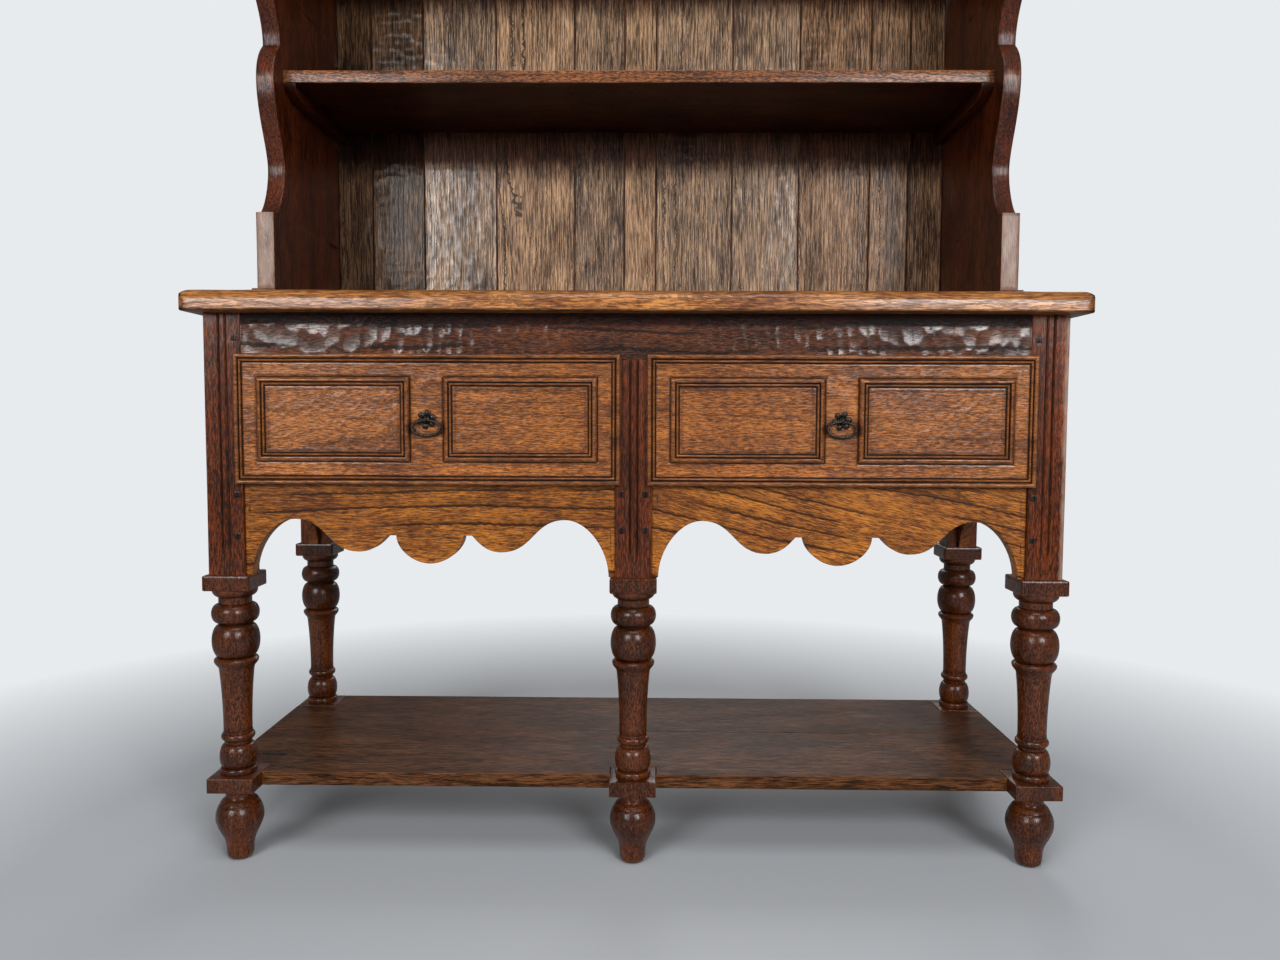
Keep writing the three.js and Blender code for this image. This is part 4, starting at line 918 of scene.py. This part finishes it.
def rounded_top(lo, hi, seed):
    """Loops round the board, each the outline drawn in by an inset and kept within the board: up the
    edge, over the rounding, and on to a line in the middle. The height falls away as a quarter circle
    within the rounding's distance of the front and the ends."""
    half = np.array([hi.x - lo.x, hi.y - lo.y]) / 2
    middle = np.array([hi.x + lo.x, hi.y + lo.y]) / 2
    radius = WORKTOP_CORNER
    run = np.linspace(-half[0] + radius, half[0] - radius, 240)
    side = np.linspace(-half[1] + radius, half[1], 84)
    turn = np.linspace(0, math.pi / 2, 7)[1:-1]

    def corner(end, turns):
        """Points round the front corner at one end, each with its way in from the edge."""
        across = [end * (half[0] - radius + radius * math.sin(t)) for t in turns]
        through = [-half[1] + radius - radius * math.cos(t) for t in turns]
        return [(x, y, -end * math.sin(t), math.cos(t)) for x, y, t in zip(across, through, turns)]

    loop = [(x, -half[1], 0, 1) for x in run]
    loop += corner(1, turn)
    loop += [(half[0], y, -1, 0) for y in side]
    loop += [(x, half[1], 0, -1) for x in run[::-1]]
    loop += [(-half[0], y, 1, 0) for y in side[::-1]]
    loop += corner(-1, turn[::-1])
    loop = np.array(loop)
    thick = hi.z - lo.z
    # The underside as (inset, height), the wall as shares of the way up, and the insets of the top.
    under = [(half[1], 0), (WORKTOP_FOOT, 0), (0.6 * MM, 0.6 * MM), (0, WORKTOP_FOOT)]
    wall = [0.15, 0.35, 0.6, 0.8, 1.0]
    bend = WORKTOP_ROUND * (1 - np.cos(np.linspace(0, math.pi / 2, 10)[1:]))
    flat = np.arange(WORKTOP_ROUND + WORKTOP_SPACING, half[1], WORKTOP_SPACING)
    insets = [inset for inset, _ in under] + [0] * len(wall) + bend.tolist() + flat.tolist() + [half[1]]
    rings = []
    for number, inset in enumerate(insets):
        place = loop[:, :2] + loop[:, 2:] * inset
        place = np.clip(place, -half + inset, half - inset)
        shore = np.minimum(half[0] - np.abs(place[:, 0]), place[:, 1] + half[1])
        sunk = WORKTOP_ROUND ** 2 - np.clip(WORKTOP_ROUND - shore, 0, None) ** 2
        top = thick - (WORKTOP_ROUND - np.sqrt(np.clip(sunk, 0, None)))
        if number < len(under):
            height = np.full(len(loop), under[number][1])
        elif number < len(under) + len(wall):
            height = WORKTOP_FOOT + (top - WORKTOP_FOOT) * wall[number - len(under)]
        else:
            length, width, depth = WORKTOP_MARKS
            sway = 10 * MM * np.sin(place[:, 0] * 9)
            marks = tool_marks(place[:, 0], place[:, 1] + sway, length, width, seed)
            height = top - depth * marks * np.clip(shore / WORKTOP_FADE, 0, 1)
        rings.append(np.column_stack([place + middle, lo.z + height]))
    points = np.array(rings)
    x, y, z = points[..., 0], points[..., 1], points[..., 2]
    grain = np.stack([x + seed * GRAIN_STEP, y + 0.05, z - lo.z + 0.06], -1)
    return skin(wander(points, 0.5 * MM, seed), grain, capped=False)


lo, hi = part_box("worktop")
piece("worktop", "rounded", [rounded_top(lo, hi, 41)], WORKTOP_OAK)


# Drawers. Each front is one oak board with a lip all round, a moulding worked along its edge and two
# raised panels, pinned at their corners. The box behind it is nailed up from plain boards.
PANEL_MARGIN, PANEL_GAP = 35 * MM, 51 * MM
# Distance in from the side and height, in millimetres, of the two mouldings.
EDGE_PROFILE = [
    (0, 8.0), (0.3, 9.6), (1.0, 10.8), (2.2, 11.6), (3.6, 11.8), (5.0, 11.5), (6.0, 10.7), (6.5, 9.6),
    (6.7, 7.6), (8.3, 7.5), (8.6, 9.6), (9.3, 10.9), (10.2, 11.3), (11.1, 10.9), (11.8, 9.8), (12.1, 7.6),
    (13.6, 7.5), (14.0, 8.7), (14.8, 9.0),
]
PANEL_PROFILE = [
    (-2.6, 9.0), (-1.6, 8.2), (-0.2, 7.6), (0, 7.8), (0.3, 10.4), (1.2, 11.8), (2.6, 12.9), (4.2, 13.5),
    (5.4, 13.6), (6.4, 13.2), (6.8, 12.4), (7.0, 9.8), (8.6, 9.7), (8.9, 11.8), (9.6, 12.8), (10.5, 13.1),
    (11.4, 12.7), (12.0, 11.6), (12.3, 9.6), (13.8, 9.5), (14.3, 10.5), (16.5, 10.8),
]
FACE_SPACING = 2.2 * MM
# Length, width and depth of the tool marks on the fields of the panels and on the board round them.
FIELD_MARKS = (7 * MM, 30 * MM, 0.45 * MM)
BOARD_ROUND_MARKS = (22 * MM, 20 * MM, 0.5 * MM)
MARKS_FADE = 3 * MM
PIN_INSET, PIN_SEAT = 20 * MM, 10.4 * MM
PIN_PROFILE = [(0, 0.35), (0.7, 0.3), (1.1, 0.05), (1.15, -0.5), (0, -0.5)]
DRAWER_OAK = oak(
    "drawer oak", (96, 49, 16), (176, 105, 42), (34, 15, 7), (150, 86, 34),
    lines=0.7, fine=1.0, relief=0.5, shine=0.17, wax=0.7, sheen=0.24,
)


def ruled(places, spacing):
    """Grid lines at the given places, with more between them where they are further apart."""
    places = np.unique(np.round(places, 7))
    counts = [max(int(math.ceil((b - a) / spacing)), 1) for a, b in zip(places, places[1:])]
    lines = [np.linspace(a, b, n, endpoint=False) for a, b, n in zip(places, places[1:], counts)]
    return np.concatenate(lines + [places[-1:]])


def face_sizes(lo, hi):
    """Half the width and height of a drawer front, and of each of its two panels."""
    half_x, half_z = (hi.x - lo.x) / 2, (hi.z - lo.z) / 2
    return half_x, half_z, (half_x - PANEL_MARGIN - PANEL_GAP / 2) / 2, half_z - PANEL_MARGIN


def drawer_face(lo, hi, rear, seed):
    """A grid over the front. The height at each place is a moulding's height at its distance from the
    nearest side of the board, or of the panel that it is in, so that the mouldings mitre."""
    half_x, half_z, panel_x, panel_z = face_sizes(lo, hi)
    cx, cz = (hi.x + lo.x) / 2, (hi.z + lo.z) / 2
    edge_in, edge_up = np.array(EDGE_PROFILE).T * MM
    panel_in, panel_up = np.array(PANEL_PROFILE).T * MM
    panel_middle = PANEL_GAP / 2 + panel_x

    def both_sides(parts):
        """Grid lines at the given distances to either side of the middle."""
        return ruled(np.concatenate([sign * part for part in parts for sign in (-1, 1)]), FACE_SPACING)

    xs = both_sides([half_x - edge_in, panel_middle + panel_x - panel_in, panel_middle - panel_x + panel_in])
    zs = both_sides([half_z - edge_in, panel_z - panel_in])
    x, z = np.meshgrid(xs, zs, indexing="ij")
    from_edge = np.minimum(half_x - np.abs(x), half_z - np.abs(z))
    from_panel = np.minimum(panel_x - np.abs(np.abs(x) - panel_middle), panel_z - np.abs(z))
    in_panel = from_panel >= panel_in[0] - 1e-9
    up_edge, up_panel = np.interp(from_edge, edge_in, edge_up), np.interp(from_panel, panel_in, panel_up)
    up = np.where(in_panel, up_panel, up_edge)
    # The marks run slantwise over the fields and straight on the board round them.
    lean_u, lean_v = x * 0.8 + z * 0.6, z * 0.8 - x * 0.6
    length, width, field_depth = FIELD_MARKS
    fine = tool_marks(lean_v, lean_u, length, width, seed)
    length, width, round_depth = BOARD_ROUND_MARKS
    broad = tool_marks(x, z, length, width, seed + 3)
    in_field = np.clip((from_panel - panel_in[-1]) / MARKS_FADE, 0, 1)
    on_board = np.clip((from_edge - edge_in[-1]) / MARKS_FADE, 0, 1) * ~in_panel
    up = up - field_depth * fine * in_field - round_depth * broad * on_board
    points = np.stack([cx + x, rear - up, cz + z], -1)
    apart = np.where(from_panel >= 0, np.sign(x) * 0.31, 0)
    through = up + 0.05 + 0.2 * np.abs(apart)
    grain = np.stack([x + seed * GRAIN_STEP + apart, z + 0.04 + 0.05 * apart, through], -1)
    return walled(wander(points, 0.3 * MM, seed), grain, rear)


def drawer_tone(lo, hi, ring_lo, ring_hi):
    """The rule for a drawer front: painted light, paler towards its foot and a little darker towards its
    top, with old polish lying on the mouldings, and darker in a band along the ring's outline."""
    half_x, half_z, panel_x, panel_z = face_sizes(lo, hi)
    edge_band, panel_band = EDGE_PROFILE[-1][0] * MM, PANEL_PROFILE[-1][0] * MM
    ring_x, ring_z = (ring_lo.x + ring_hi.x) / 2, (ring_lo.z + ring_hi.z) / 2
    wide, high = ring_hi.x - ring_lo.x, ring_hi.z - ring_lo.z

    def tone(px, py, pz):
        x, z = np.abs(px - (hi.x + lo.x) / 2), pz - (hi.z + lo.z) / 2
        from_edge = np.minimum(half_x - x, half_z - np.abs(z))
        from_panel = np.minimum(panel_x - np.abs(x - PANEL_GAP / 2 - panel_x), panel_z - np.abs(z))
        # Painted light: paler towards the foot of the front and a little darker towards its top.
        rubbed_and_lit = np.interp(z, [-half_z + edge_band, -half_z + PANEL_MARGIN, half_z], [0.45, 0.1, -0.15])
        on_panel = np.abs(from_panel - panel_band / 2) < panel_band / 2 + 3 * MM
        # Darker in a band along the ring's outline.
        ring = np.hypot((px - ring_x) / wide, (pz - ring_z) / high)
        ring_band = 0.8 * np.exp(-((ring - 0.52) / 0.14) ** 2)
        flat = np.where(from_panel > 0, 0, rubbed_and_lit)
        return np.where((from_edge < edge_band) | on_panel, -0.42, flat) - ring_band

    return tone


def walled(points, grain, rear):
    """A sheet that faces the front, closed behind: its rim is carried back to the rear and capped."""
    flat, faces, flat_grain = sheet(points, grain)
    rows, columns = points.shape[:2]
    index = np.arange(rows * columns).reshape(rows, columns)
    rim = np.concatenate([index[:-1, 0], index[-1, :-1], index[:0:-1, -1], index[0, :0:-1]])
    behind = flat[rim].copy()
    behind[:, 1] = rear
    after = np.arange(len(rim)) + len(flat)
    faces += np.stack([rim, np.roll(rim, -1), np.roll(after, -1), after], -1).tolist()
    faces += [after[::-1].tolist()]
    return np.concatenate([flat, behind]), faces, np.concatenate([flat_grain, flat_grain[rim]])


def knob(profile, x, z, face, sides=16, seed=0):
    """A small turned skin about an axis that points at the front: radius and height in millimetres."""
    turn = np.linspace(0, 2 * math.pi, sides, endpoint=False)
    radius, height = np.array(profile).T[:, :, None] * MM
    points = np.stack([x + radius * np.cos(turn), face - height + 0 * turn, z + radius * np.sin(turn)], -1)
    return skin(points, points + seed * 0.37)


# The boards of a drawer's box and the axes along, across and through each.
BOX_BOARDS = [("side_outer_", "yzx"), ("side_inner_", "yzx"), ("back_", "xzy"), ("bottom_", "xyz")]
for number, side in enumerate(["left", "right"]):
    body, node = "drawer_" + side, "drawer_front_" + side
    lo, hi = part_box(node)
    side_lo, side_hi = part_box("drawer_side_outer_" + side)
    rear = side_lo.y
    inner = sorted([v.x for part in ("inner_", "outer_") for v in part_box("drawer_side_" + part + side)])[1:3]
    fill = [(inner[0], rear, side_lo.z), (inner[1], hi.y, side_hi.z)]
    skins = [drawer_face(lo, hi, rear, 51 + number), block(*fill, spacing=30 * MM, seed=53 + number)]
    tone = drawer_tone(lo, hi, *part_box("pull_ring_" + side))
    piece(node, "moulded", skins, DRAWER_OAK, tone, body)
    centre = middle_of(node)
    reach_x = (hi.x - lo.x) / 2 - PANEL_MARGIN - PIN_INSET
    near_x = PANEL_GAP / 2 + PIN_INSET
    reach_z = (hi.z - lo.z) / 2 - PANEL_MARGIN - PIN_INSET
    spots = [(sx, px, sz) for sx in (-1, 1) for px in (near_x, reach_x) for sz in (-1, 1)]
    pins = [
        knob(PIN_PROFILE, centre.x + sx * px, centre.z + sz * reach_z, rear - PIN_SEAT, seed=sx + px + sz)
        for sx, px, sz in spots
    ]
    piece(node, "pins", pins, PEG_OAK, body=body, stands_for=False)
    for offset, (part, axes) in enumerate(BOX_BOARDS):
        node = "drawer_" + part + side
        cut = 57 + 4 * number + offset
        skins = [block(*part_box(node), axes, spacing=16 * MM, arris=0.8 * MM, bow=0.1 * MM, seed=cut)]
        piece(node, "board", skins, INSIDE_OAK, body=body)


# Ring pulls. Blackened iron: a rosette of six lobes on each drawer front, an eye riveted through its
# middle, and an oval ring with two knuckles at its foot, which hangs in the eye.
LOBES, LOBE_RADIUS, LOBE_PLACE, BOSS_RADIUS = 6, 4.7 * MM, 10.2 * MM, 7.0 * MM
LOBE_TURNS = {"left": 0.33, "right": 0.14}
EYE_RADIUS, EYE_WIRE = 4.4 * MM, 1.3 * MM
PLATE_THICK = 2.6 * MM
RING_WIRE, RING_SWELL = 1.9 * MM, 0.6 * MM


def iron_finish():
    """Forged iron, oxidised almost black, rubbed to bare grey metal on the edges that hands touch."""
    material, tree, shader = fresh("blackened iron")
    _, ramp, _, blend = short_hands(tree)
    place = put(tree, "ShaderNodeTexCoord").outputs["Object"]
    edge = put(tree, "ShaderNodeAttribute", {"attribute_name": "edge"}).outputs["Fac"]
    pits = put(tree, "ShaderNodeTexNoise", Vector=place, Scale=900.0, Detail=3.0, Roughness=0.6)
    pits = pits.outputs["Fac"]
    wear = put(
        tree, "ShaderNodeGroup", {"node_tree": WEAR}, Vector=place, Edge=edge,
        Color=blend(pits, tint(22, 18, 16), tint(60, 52, 47)), Worn=tint(112, 104, 96), Grime=tint(14, 11, 9),
    ).outputs
    gloss = ramp(pits, 0.3, 0.7, 0.38, 0.16)
    bump = put(tree, "ShaderNodeBump", Height=pits, Strength=0.35, Distance=0.0006).outputs[0]
    for socket, value in {"Base Color": wear["Color"], "Roughness": gloss, "Normal": bump}.items():
        tree.links.new(value, shader.inputs[socket])
    shader.inputs["Metallic"].default_value = 0.85
    return material


def rosette(x, z, face, thick, lobe_turn):
    """Rings drawn out from the middle to a lobed rim, each lobe and the middle boss a low dome."""
    turn = np.linspace(0, 2 * math.pi, 144, endpoint=False)
    lobe = (np.arange(LOBES) + lobe_turn) * 2 * math.pi / LOBES
    apart = turn[:, None] - lobe
    chord = LOBE_RADIUS ** 2 - (LOBE_PLACE * np.sin(apart)) ** 2
    outward = LOBE_PLACE * np.cos(apart) + np.sqrt(np.clip(chord, 0, None))
    reach = np.where((chord > 0) & (np.cos(apart) > 0), outward, 0)
    rim = np.maximum(reach.max(1), BOSS_RADIUS)
    share = np.concatenate([np.linspace(0.02, 0.9, 16), [0.94, 0.97, 0.99, 1, 1, 1]])[:, None]
    px, pz = share * rim * np.cos(turn), share * rim * np.sin(turn)
    lobe_x, lobe_z = LOBE_PLACE * np.cos(lobe), LOBE_PLACE * np.sin(lobe)
    far = np.hypot(px[..., None] - lobe_x, pz[..., None] - lobe_z).min(-1)
    dome = np.sqrt(np.clip(1 - (far / LOBE_RADIUS) ** 2, 0, 1))
    boss = np.sqrt(np.clip(1 - (np.hypot(px, pz) / (0.6 * BOSS_RADIUS)) ** 2, 0, 1))
    up = thick * (0.25 + 0.75 * np.maximum(dome, boss))
    up[-2:] = np.array([0.2, 0])[:, None] * thick
    return skin(np.stack([x + px, face - up, z + pz], -1), np.stack([px, pz, up], -1))


def tube(path, wire, flat, sides=14):
    """A round wire along a closed path that lies in a plane; flat is the square to that plane."""
    ahead = np.roll(path, -1, 0) - np.roll(path, 1, 0)
    ahead /= np.linalg.norm(ahead, axis=1)[:, None]
    out = np.cross(ahead, flat)
    roll = np.linspace(0, 2 * math.pi, sides, endpoint=False)[None, :, None]
    aside = out[:, None] * np.cos(roll) + np.array(flat) * np.sin(roll)
    points = path[:, None] + wire[:, None, None] * aside
    points = np.concatenate([points, points[:1]])
    return skin(points, points, capped=False)


IRON = iron_finish()
for side in ["left", "right"]:
    node = "pull_plate_" + side
    lo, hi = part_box(node)
    ring_lo, ring_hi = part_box("pull_ring_" + side)
    x, z = (lo.x + hi.x) / 2, middle_of("drawer_front_" + side).z
    eye_y = (ring_lo.y + ring_hi.y) / 2
    turn = np.linspace(0, 2 * math.pi, 40, endpoint=False)
    eye = np.stack([x + 0 * turn, eye_y + EYE_RADIUS * np.cos(turn), z + EYE_RADIUS * np.sin(turn)], -1)
    skins = [
        rosette(x, z, hi.y, PLATE_THICK, LOBE_TURNS[side]),
        tube(eye, np.full(len(turn), EYE_WIRE), (1, 0, 0)),
    ]
    piece(node, "lobed", skins, IRON, body="drawer_" + side)
    node = "pull_ring_" + side
    turn = np.linspace(0, 2 * math.pi, 120, endpoint=False)
    half_x, half_z = (ring_hi.x - ring_lo.x) / 2 - RING_WIRE, (ring_hi.z - ring_lo.z) / 2 - RING_WIRE
    up = (ring_lo.z + ring_hi.z) / 2 + half_z * np.sin(turn)
    ring = np.stack([x + half_x * np.cos(turn), eye_y + 0 * turn, up], -1)
    knuckles = sum(np.exp(-((turn - (1.5 + s * 0.11) * math.pi) / 0.07) ** 2) for s in (-1, 1))
    skins = [tube(ring, RING_WIRE + RING_SWELL * knuckles, (0, 1, 0))]
    piece(node, "forged", skins, IRON, body="ring_" + side)


# Rack sides, shoes and cleats. Each side is a wide board, sawn along its front edge to scoops and
# noses, that stands on a shoe on the worktop; cleats screwed inside carry the ends of the shelves.
SCROLL_FOOT, SCROLL_STEP, SCROLL_SCOOP = 1031 * MM, 9 * MM, 53 * MM
NOSE_DROP, NOSE_BACK = 5 * MM, 11 * MM
CUSP_BACK, CUSP_RISE = 41 * MM, 62 * MM
RETURN_RISE, RETURN_FLAT = 83 * MM, 20 * MM
CLEAT_NOSE = 45 * MM
# The tone of a shelf's underside: painted shade.
UNDERSIDE_PAINTED_SHADE = -1.4
RACK_OAK = oak("rack side oak", (42, 17, 8), (100, 45, 20), (14, 6, 4), (124, 74, 46), lines=0.6, fine=0.6)
SHELF_EDGE_OAK = oak(
    "rack shelf oak", (52, 24, 11), (156, 94, 50), (18, 8, 5), (176, 122, 82), lines=1.0, fine=1.5, wax=0.4,
)


def rim_sheen_tone(low, high, face, noses):
    """The rule for a rack side, made paler along its sawn edge between its faces: a painted sheen on the
    straight foot, which faces the light, a little rubbing and a painted highlight on the noses, least in
    the scoops."""

    def tone(px, py, pz):
        nose = np.max([np.clip(1 - np.abs(pz - height) / (30 * MM), 0, 1) for height in noses], axis=0)
        # Painted sheen on the foot; a little rubbing with a painted highlight on the noses.
        rubbed_and_lit = np.where(pz < SCROLL_FOOT, 0.98, 0.15 + 0.5 * nose)
        return rubbed_and_lit * ((px > low + MM) & (px < high - MM) & (py < face + SCROLL_SCOOP + 2 * MM))

    return tone


def scrolled(bottom, top, front, shelves):
    """The front edge as (height, depth): a straight foot, then for each shelf a step back, a scoop, a
    nose, a cusp over it and a sweep forward again."""
    edge, step = [(bottom, front)], SCROLL_FOOT
    for shelf in shelves:
        nose = shelf - NOSE_DROP
        rise = nose - step
        low, cusp = step + 0.37 * rise, nose + CUSP_RISE
        back = cusp + RETURN_RISE
        scoop, nose_y, cusp_y = front + SCROLL_SCOOP, front + NOSE_BACK, front + CUSP_BACK
        edge += [(step, front), (step + NUDGE, front + SCROLL_STEP)]
        edge += curve(edge[-1], (step, front + SCROLL_SCOOP / 2), (low - 0.16 * rise, scoop), (low, scoop))
        edge += curve((low, scoop), (low + 0.16 * rise, scoop), (nose - 0.27 * rise, nose_y), (nose, nose_y))
        lean = [(nose + CUSP_RISE / 2, nose_y), (cusp - CUSP_RISE / 5, (nose_y + cusp_y) / 2)]
        edge += curve((nose, nose_y), *lean, (cusp, cusp_y))
        lean = [(cusp + RETURN_RISE / 2, cusp_y), (back - RETURN_RISE / 5, nose_y)]
        edge += curve((cusp, cusp_y), *lean, (back, front))
        step = back + RETURN_FLAT
    return edge + [(top, front)]


def underside_shade_tone(bottom):
    """The rule for a shelf: its underside is painted dark, as shade."""
    return lambda px, py, pz: np.where(pz < bottom + 1.5 * MM, UNDERSIDE_PAINTED_SHADE, 0.0)


shelves = [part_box("lower_shelf")[0].z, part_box("upper_shelf")[0].z]
noses = [shelf - NOSE_DROP for shelf in shelves]
for number, side in enumerate(["left", "right"]):
    node = "rack_side_" + side
    lo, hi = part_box(node)
    edge = scrolled(lo.z, hi.z, lo.y, shelves)
    back = level_with(edge, hi.y)
    grown = {"seed": 71 + number, "pith": (0.1, 0.06)}
    marks = (30 * MM, 40 * MM, 0.4 * MM)
    skins = [board(edge, back, lo.x, hi.x, "zyx", arris=2.2 * MM, marks=marks, **grown)]
    tone = rim_sheen_tone(lo.x, hi.x, lo.y, noses)
    piece(node, "scrolled", skins, RACK_OAK, tone)
    node = "rack_shoe_" + side
    skins = [block(*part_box(node), "yzx", arris=1.5 * MM, seed=73 + number)]
    piece(node, "planed", skins, RACK_OAK)
    for level in ["lower_cleat_", "upper_cleat_"]:
        node = level + side
        lo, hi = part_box(node)
        start = (lo.y, hi.z - 1.5 * MM)
        lean = [(lo.y + 0.3 * MM, (lo.z + hi.z) / 2), (lo.y + CLEAT_NOSE / 2, lo.z)]
        edge = [start] + curve(start, *lean, (lo.y + CLEAT_NOSE, lo.z)) + [(hi.y, lo.z)]
        rim = {"arris": 0.7 * MM, "ends": 0.3 * MM}
        skins = [board(edge, level_with(edge, hi.z), lo.x, hi.x, "yzx", seed=75 + number, **rim)]
        tone = height_tone([lo.z, hi.z], [-0.5, -0.9])
        piece(node, "nosed", skins, RACK_OAK, tone)

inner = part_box("rack_side_right")[0].x
for number, node in enumerate(["lower_shelf", "upper_shelf"]):
    lo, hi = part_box(node)
    corners = [(-inner, lo.y, hi.z), (inner, hi.y, lo.z)]
    marks = (26 * MM, 40 * MM, 0.5 * MM)
    skins = [block(*corners, "xyz", 1.8 * MM, 6 * MM, marks=marks, seed=81 + number)]
    piece(node, "scraped", skins, SHELF_EDGE_OAK, underside_shade_tone(lo.z))


# Back of the rack. Eleven oak boards of uneven width, set upright edge to edge with bevelled joints
# and scraped across, so that each has its own colour and its own ripple.
BOARD_OAKS = [
    oak(
        "back oak brown", (66, 46, 33), (198, 160, 125), (18, 11, 8), (160, 118, 82),
        lines=1.1, fine=0.3, relief=0.7, shine=0.15, wax=0.8, sheen=0.17,
    ),
    oak(
        "back oak dark", (44, 30, 20), (128, 94, 65), (14, 9, 6), (120, 88, 62),
        lines=0.9, fine=0.3, relief=1.0, shine=0.06, wax=0.25, sheen=0.18,
    ),
    oak(
        "back oak ochre", (88, 62, 43), (212, 169, 130), (20, 12, 8), (170, 122, 78),
        lines=1.3, fine=0.3, relief=0.7, shine=0.12, wax=0.6, sheen=0.17,
    ),
    oak(
        "back oak dull", (66, 45, 30), (186, 143, 106), (18, 11, 8), (160, 118, 82),
        lines=1.1, fine=0.3, relief=0.7, shine=0.08, wax=0.15, sheen=0.2,
    ),
]
# For each board from the left: which of the oaks it is, and how deep its scrape marks are.
BOARD_TONES = [1, 1, 0, 2, 0, 2, 0, 0, 3, 3, 3]
BOARD_MARKS = [0.9, 1.0, 0.6, 0.6, 0.9, 0.3, 0.9, 0.5, 0.8, 0.3, 0.7]
TONGUE_REACH, TONGUE_INSET = 1.2 * MM, 3 * MM


def joint_and_shadow_tone(low, high, face):
    """The rule for a board darkened by polish in the joint along each of its edges, and, at its face, by a
    painted shadow of each shelf over the last hand's breadth under it."""

    def tone(px, py, pz):
        joint = np.clip(1.5 - np.minimum(px - low, high - px) / (1.6 * MM), 0, 1)
        # Painted shadow cast by each shelf on the boards under it.
        under = [np.interp(pz - shelf, [-95 * MM, -45 * MM, 0, MM], [0, 1, 1, 0]) for shelf in shelves]
        return -1.3 * np.maximum(joint, 0.9 * np.maximum(*under) * (py < face + 4 * MM))

    return tone


for number, tone in enumerate(BOARD_TONES):
    node = "back_board_%d" % (number + 1)
    lo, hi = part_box(node)
    pith = (0.045 + 0.02 * (number % 3), 0.03 + 0.02 * (number % 2))
    marks = (13 * MM, 24 * MM, BOARD_MARKS[number] * MM)
    skins = [block(lo, hi, "zxy", 1.6 * MM, 3.4 * MM, marks=marks, seed=91 + number, pith=pith)]
    if number + 1 < len(BOARD_TONES):
        root = (hi.x - TONGUE_INSET, lo.y + TONGUE_INSET, lo.z + MM)
        tip = (hi.x + TONGUE_REACH, hi.y - TONGUE_INSET, hi.z - MM)
        skins.append(block(root, tip, "zxy", 0.3 * MM, 20 * MM, bow=0, seed=number))
    dark_joints_and_shelf_shadow = joint_and_shadow_tone(lo.x, hi.x, lo.y)
    piece(node, "scraped", skins, BOARD_OAKS[tone], dark_joints_and_shelf_shadow)


# Head of the rack. A scalloped frieze between the sides, a plain top board, and a cornice moulding
# mitred round the front and both ends.
FRIEZE_RISES = {"arch": 42 * MM, "lobe": 17 * MM, "cusp": 30 * MM, "middle": 9 * MM}
# Share of the way out and share of the way up.
CORNICE_PROFILE = [
    (0, 0), (0.1, 0), (0.14, 0.02), (0.16, 0.06), (0.14, 0.1), (0.1, 0.13), (0.1, 0.2), (0.12, 0.26),
    (0.2, 0.38), (0.3, 0.47), (0.42, 0.55), (0.55, 0.61), (0.66, 0.66), (0.73, 0.71), (0.77, 0.76),
    (0.78, 0.84), (0.99, 0.86), (1, 0.88), (1, 0.98), (0.98, 1), (0, 1),
]

lo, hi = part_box("rack_frieze")
half = hi.x / 2
bay = scalloped(half, lo.z, FRIEZE_RISES, APRON_PLACES)
edge = [(x - half, z) for x, z in bay] + [(x + half, z) for x, z in bay[1:]]
top = level_with(edge, hi.z)
marks = (18 * MM, 26 * MM, 0.5 * MM)
skins = [board(edge, top, lo.y, hi.y, spacing=5 * MM, arris=1.4 * MM, marks=marks, seed=111)]
piece("rack_frieze", "scalloped", skins, END_OAK)

lo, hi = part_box("rack_top_board")
skins = [block((lo.x, lo.y, hi.z), (hi.x, hi.y, lo.z), "xyz", 1.2 * MM, 12 * MM, seed=113)]
piece("rack_top_board", "planed", skins, RACK_OAK)


def mitred(lo, hi, core, seed):
    """The moulding's section carried from the back along one end, the front and the other end, each
    point of it kept square to the run and the corners mitred."""
    out, up = np.array(CORNICE_PROFILE).T
    project = hi.x - core
    front = lo.y + project
    end = np.linspace(hi.y, front, 40)
    run = np.linspace(-core, core, 160)
    path = [(-core, y, -1, 0) for y in end[:-1]]
    path += [(-core, front, -1, -1)]
    path += [(x, front, 0, -1) for x in run[1:-1]]
    path += [(core, front, 1, -1)]
    path += [(core, y, 1, 0) for y in end[-2::-1]]
    x, y, way_x, way_y = np.array(path).T[:, :, None]
    out = out[None, :] * project
    rise = up[None, :] * (hi.z - lo.z)
    points = np.stack([x + way_x * out, y + way_y * out, lo.z + rise + 0 * x], -1)
    steps = np.hypot(np.diff(x[:, 0]), np.diff(y[:, 0]))
    along = np.cumsum(np.concatenate([[0], steps]))[:, None]
    through = points[..., 2] - lo.z + 0.05
    grain = np.stack([along + seed * GRAIN_STEP + 0 * out, out + 0.04 + 0 * along, through], -1)
    return skin(wander(points, 0.3 * MM, seed), grain)


lo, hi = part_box("cornice")
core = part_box("rack_side_right")[1].x
piece("cornice", "moulded", [mitred(lo, hi, core, 117)], END_OAK)
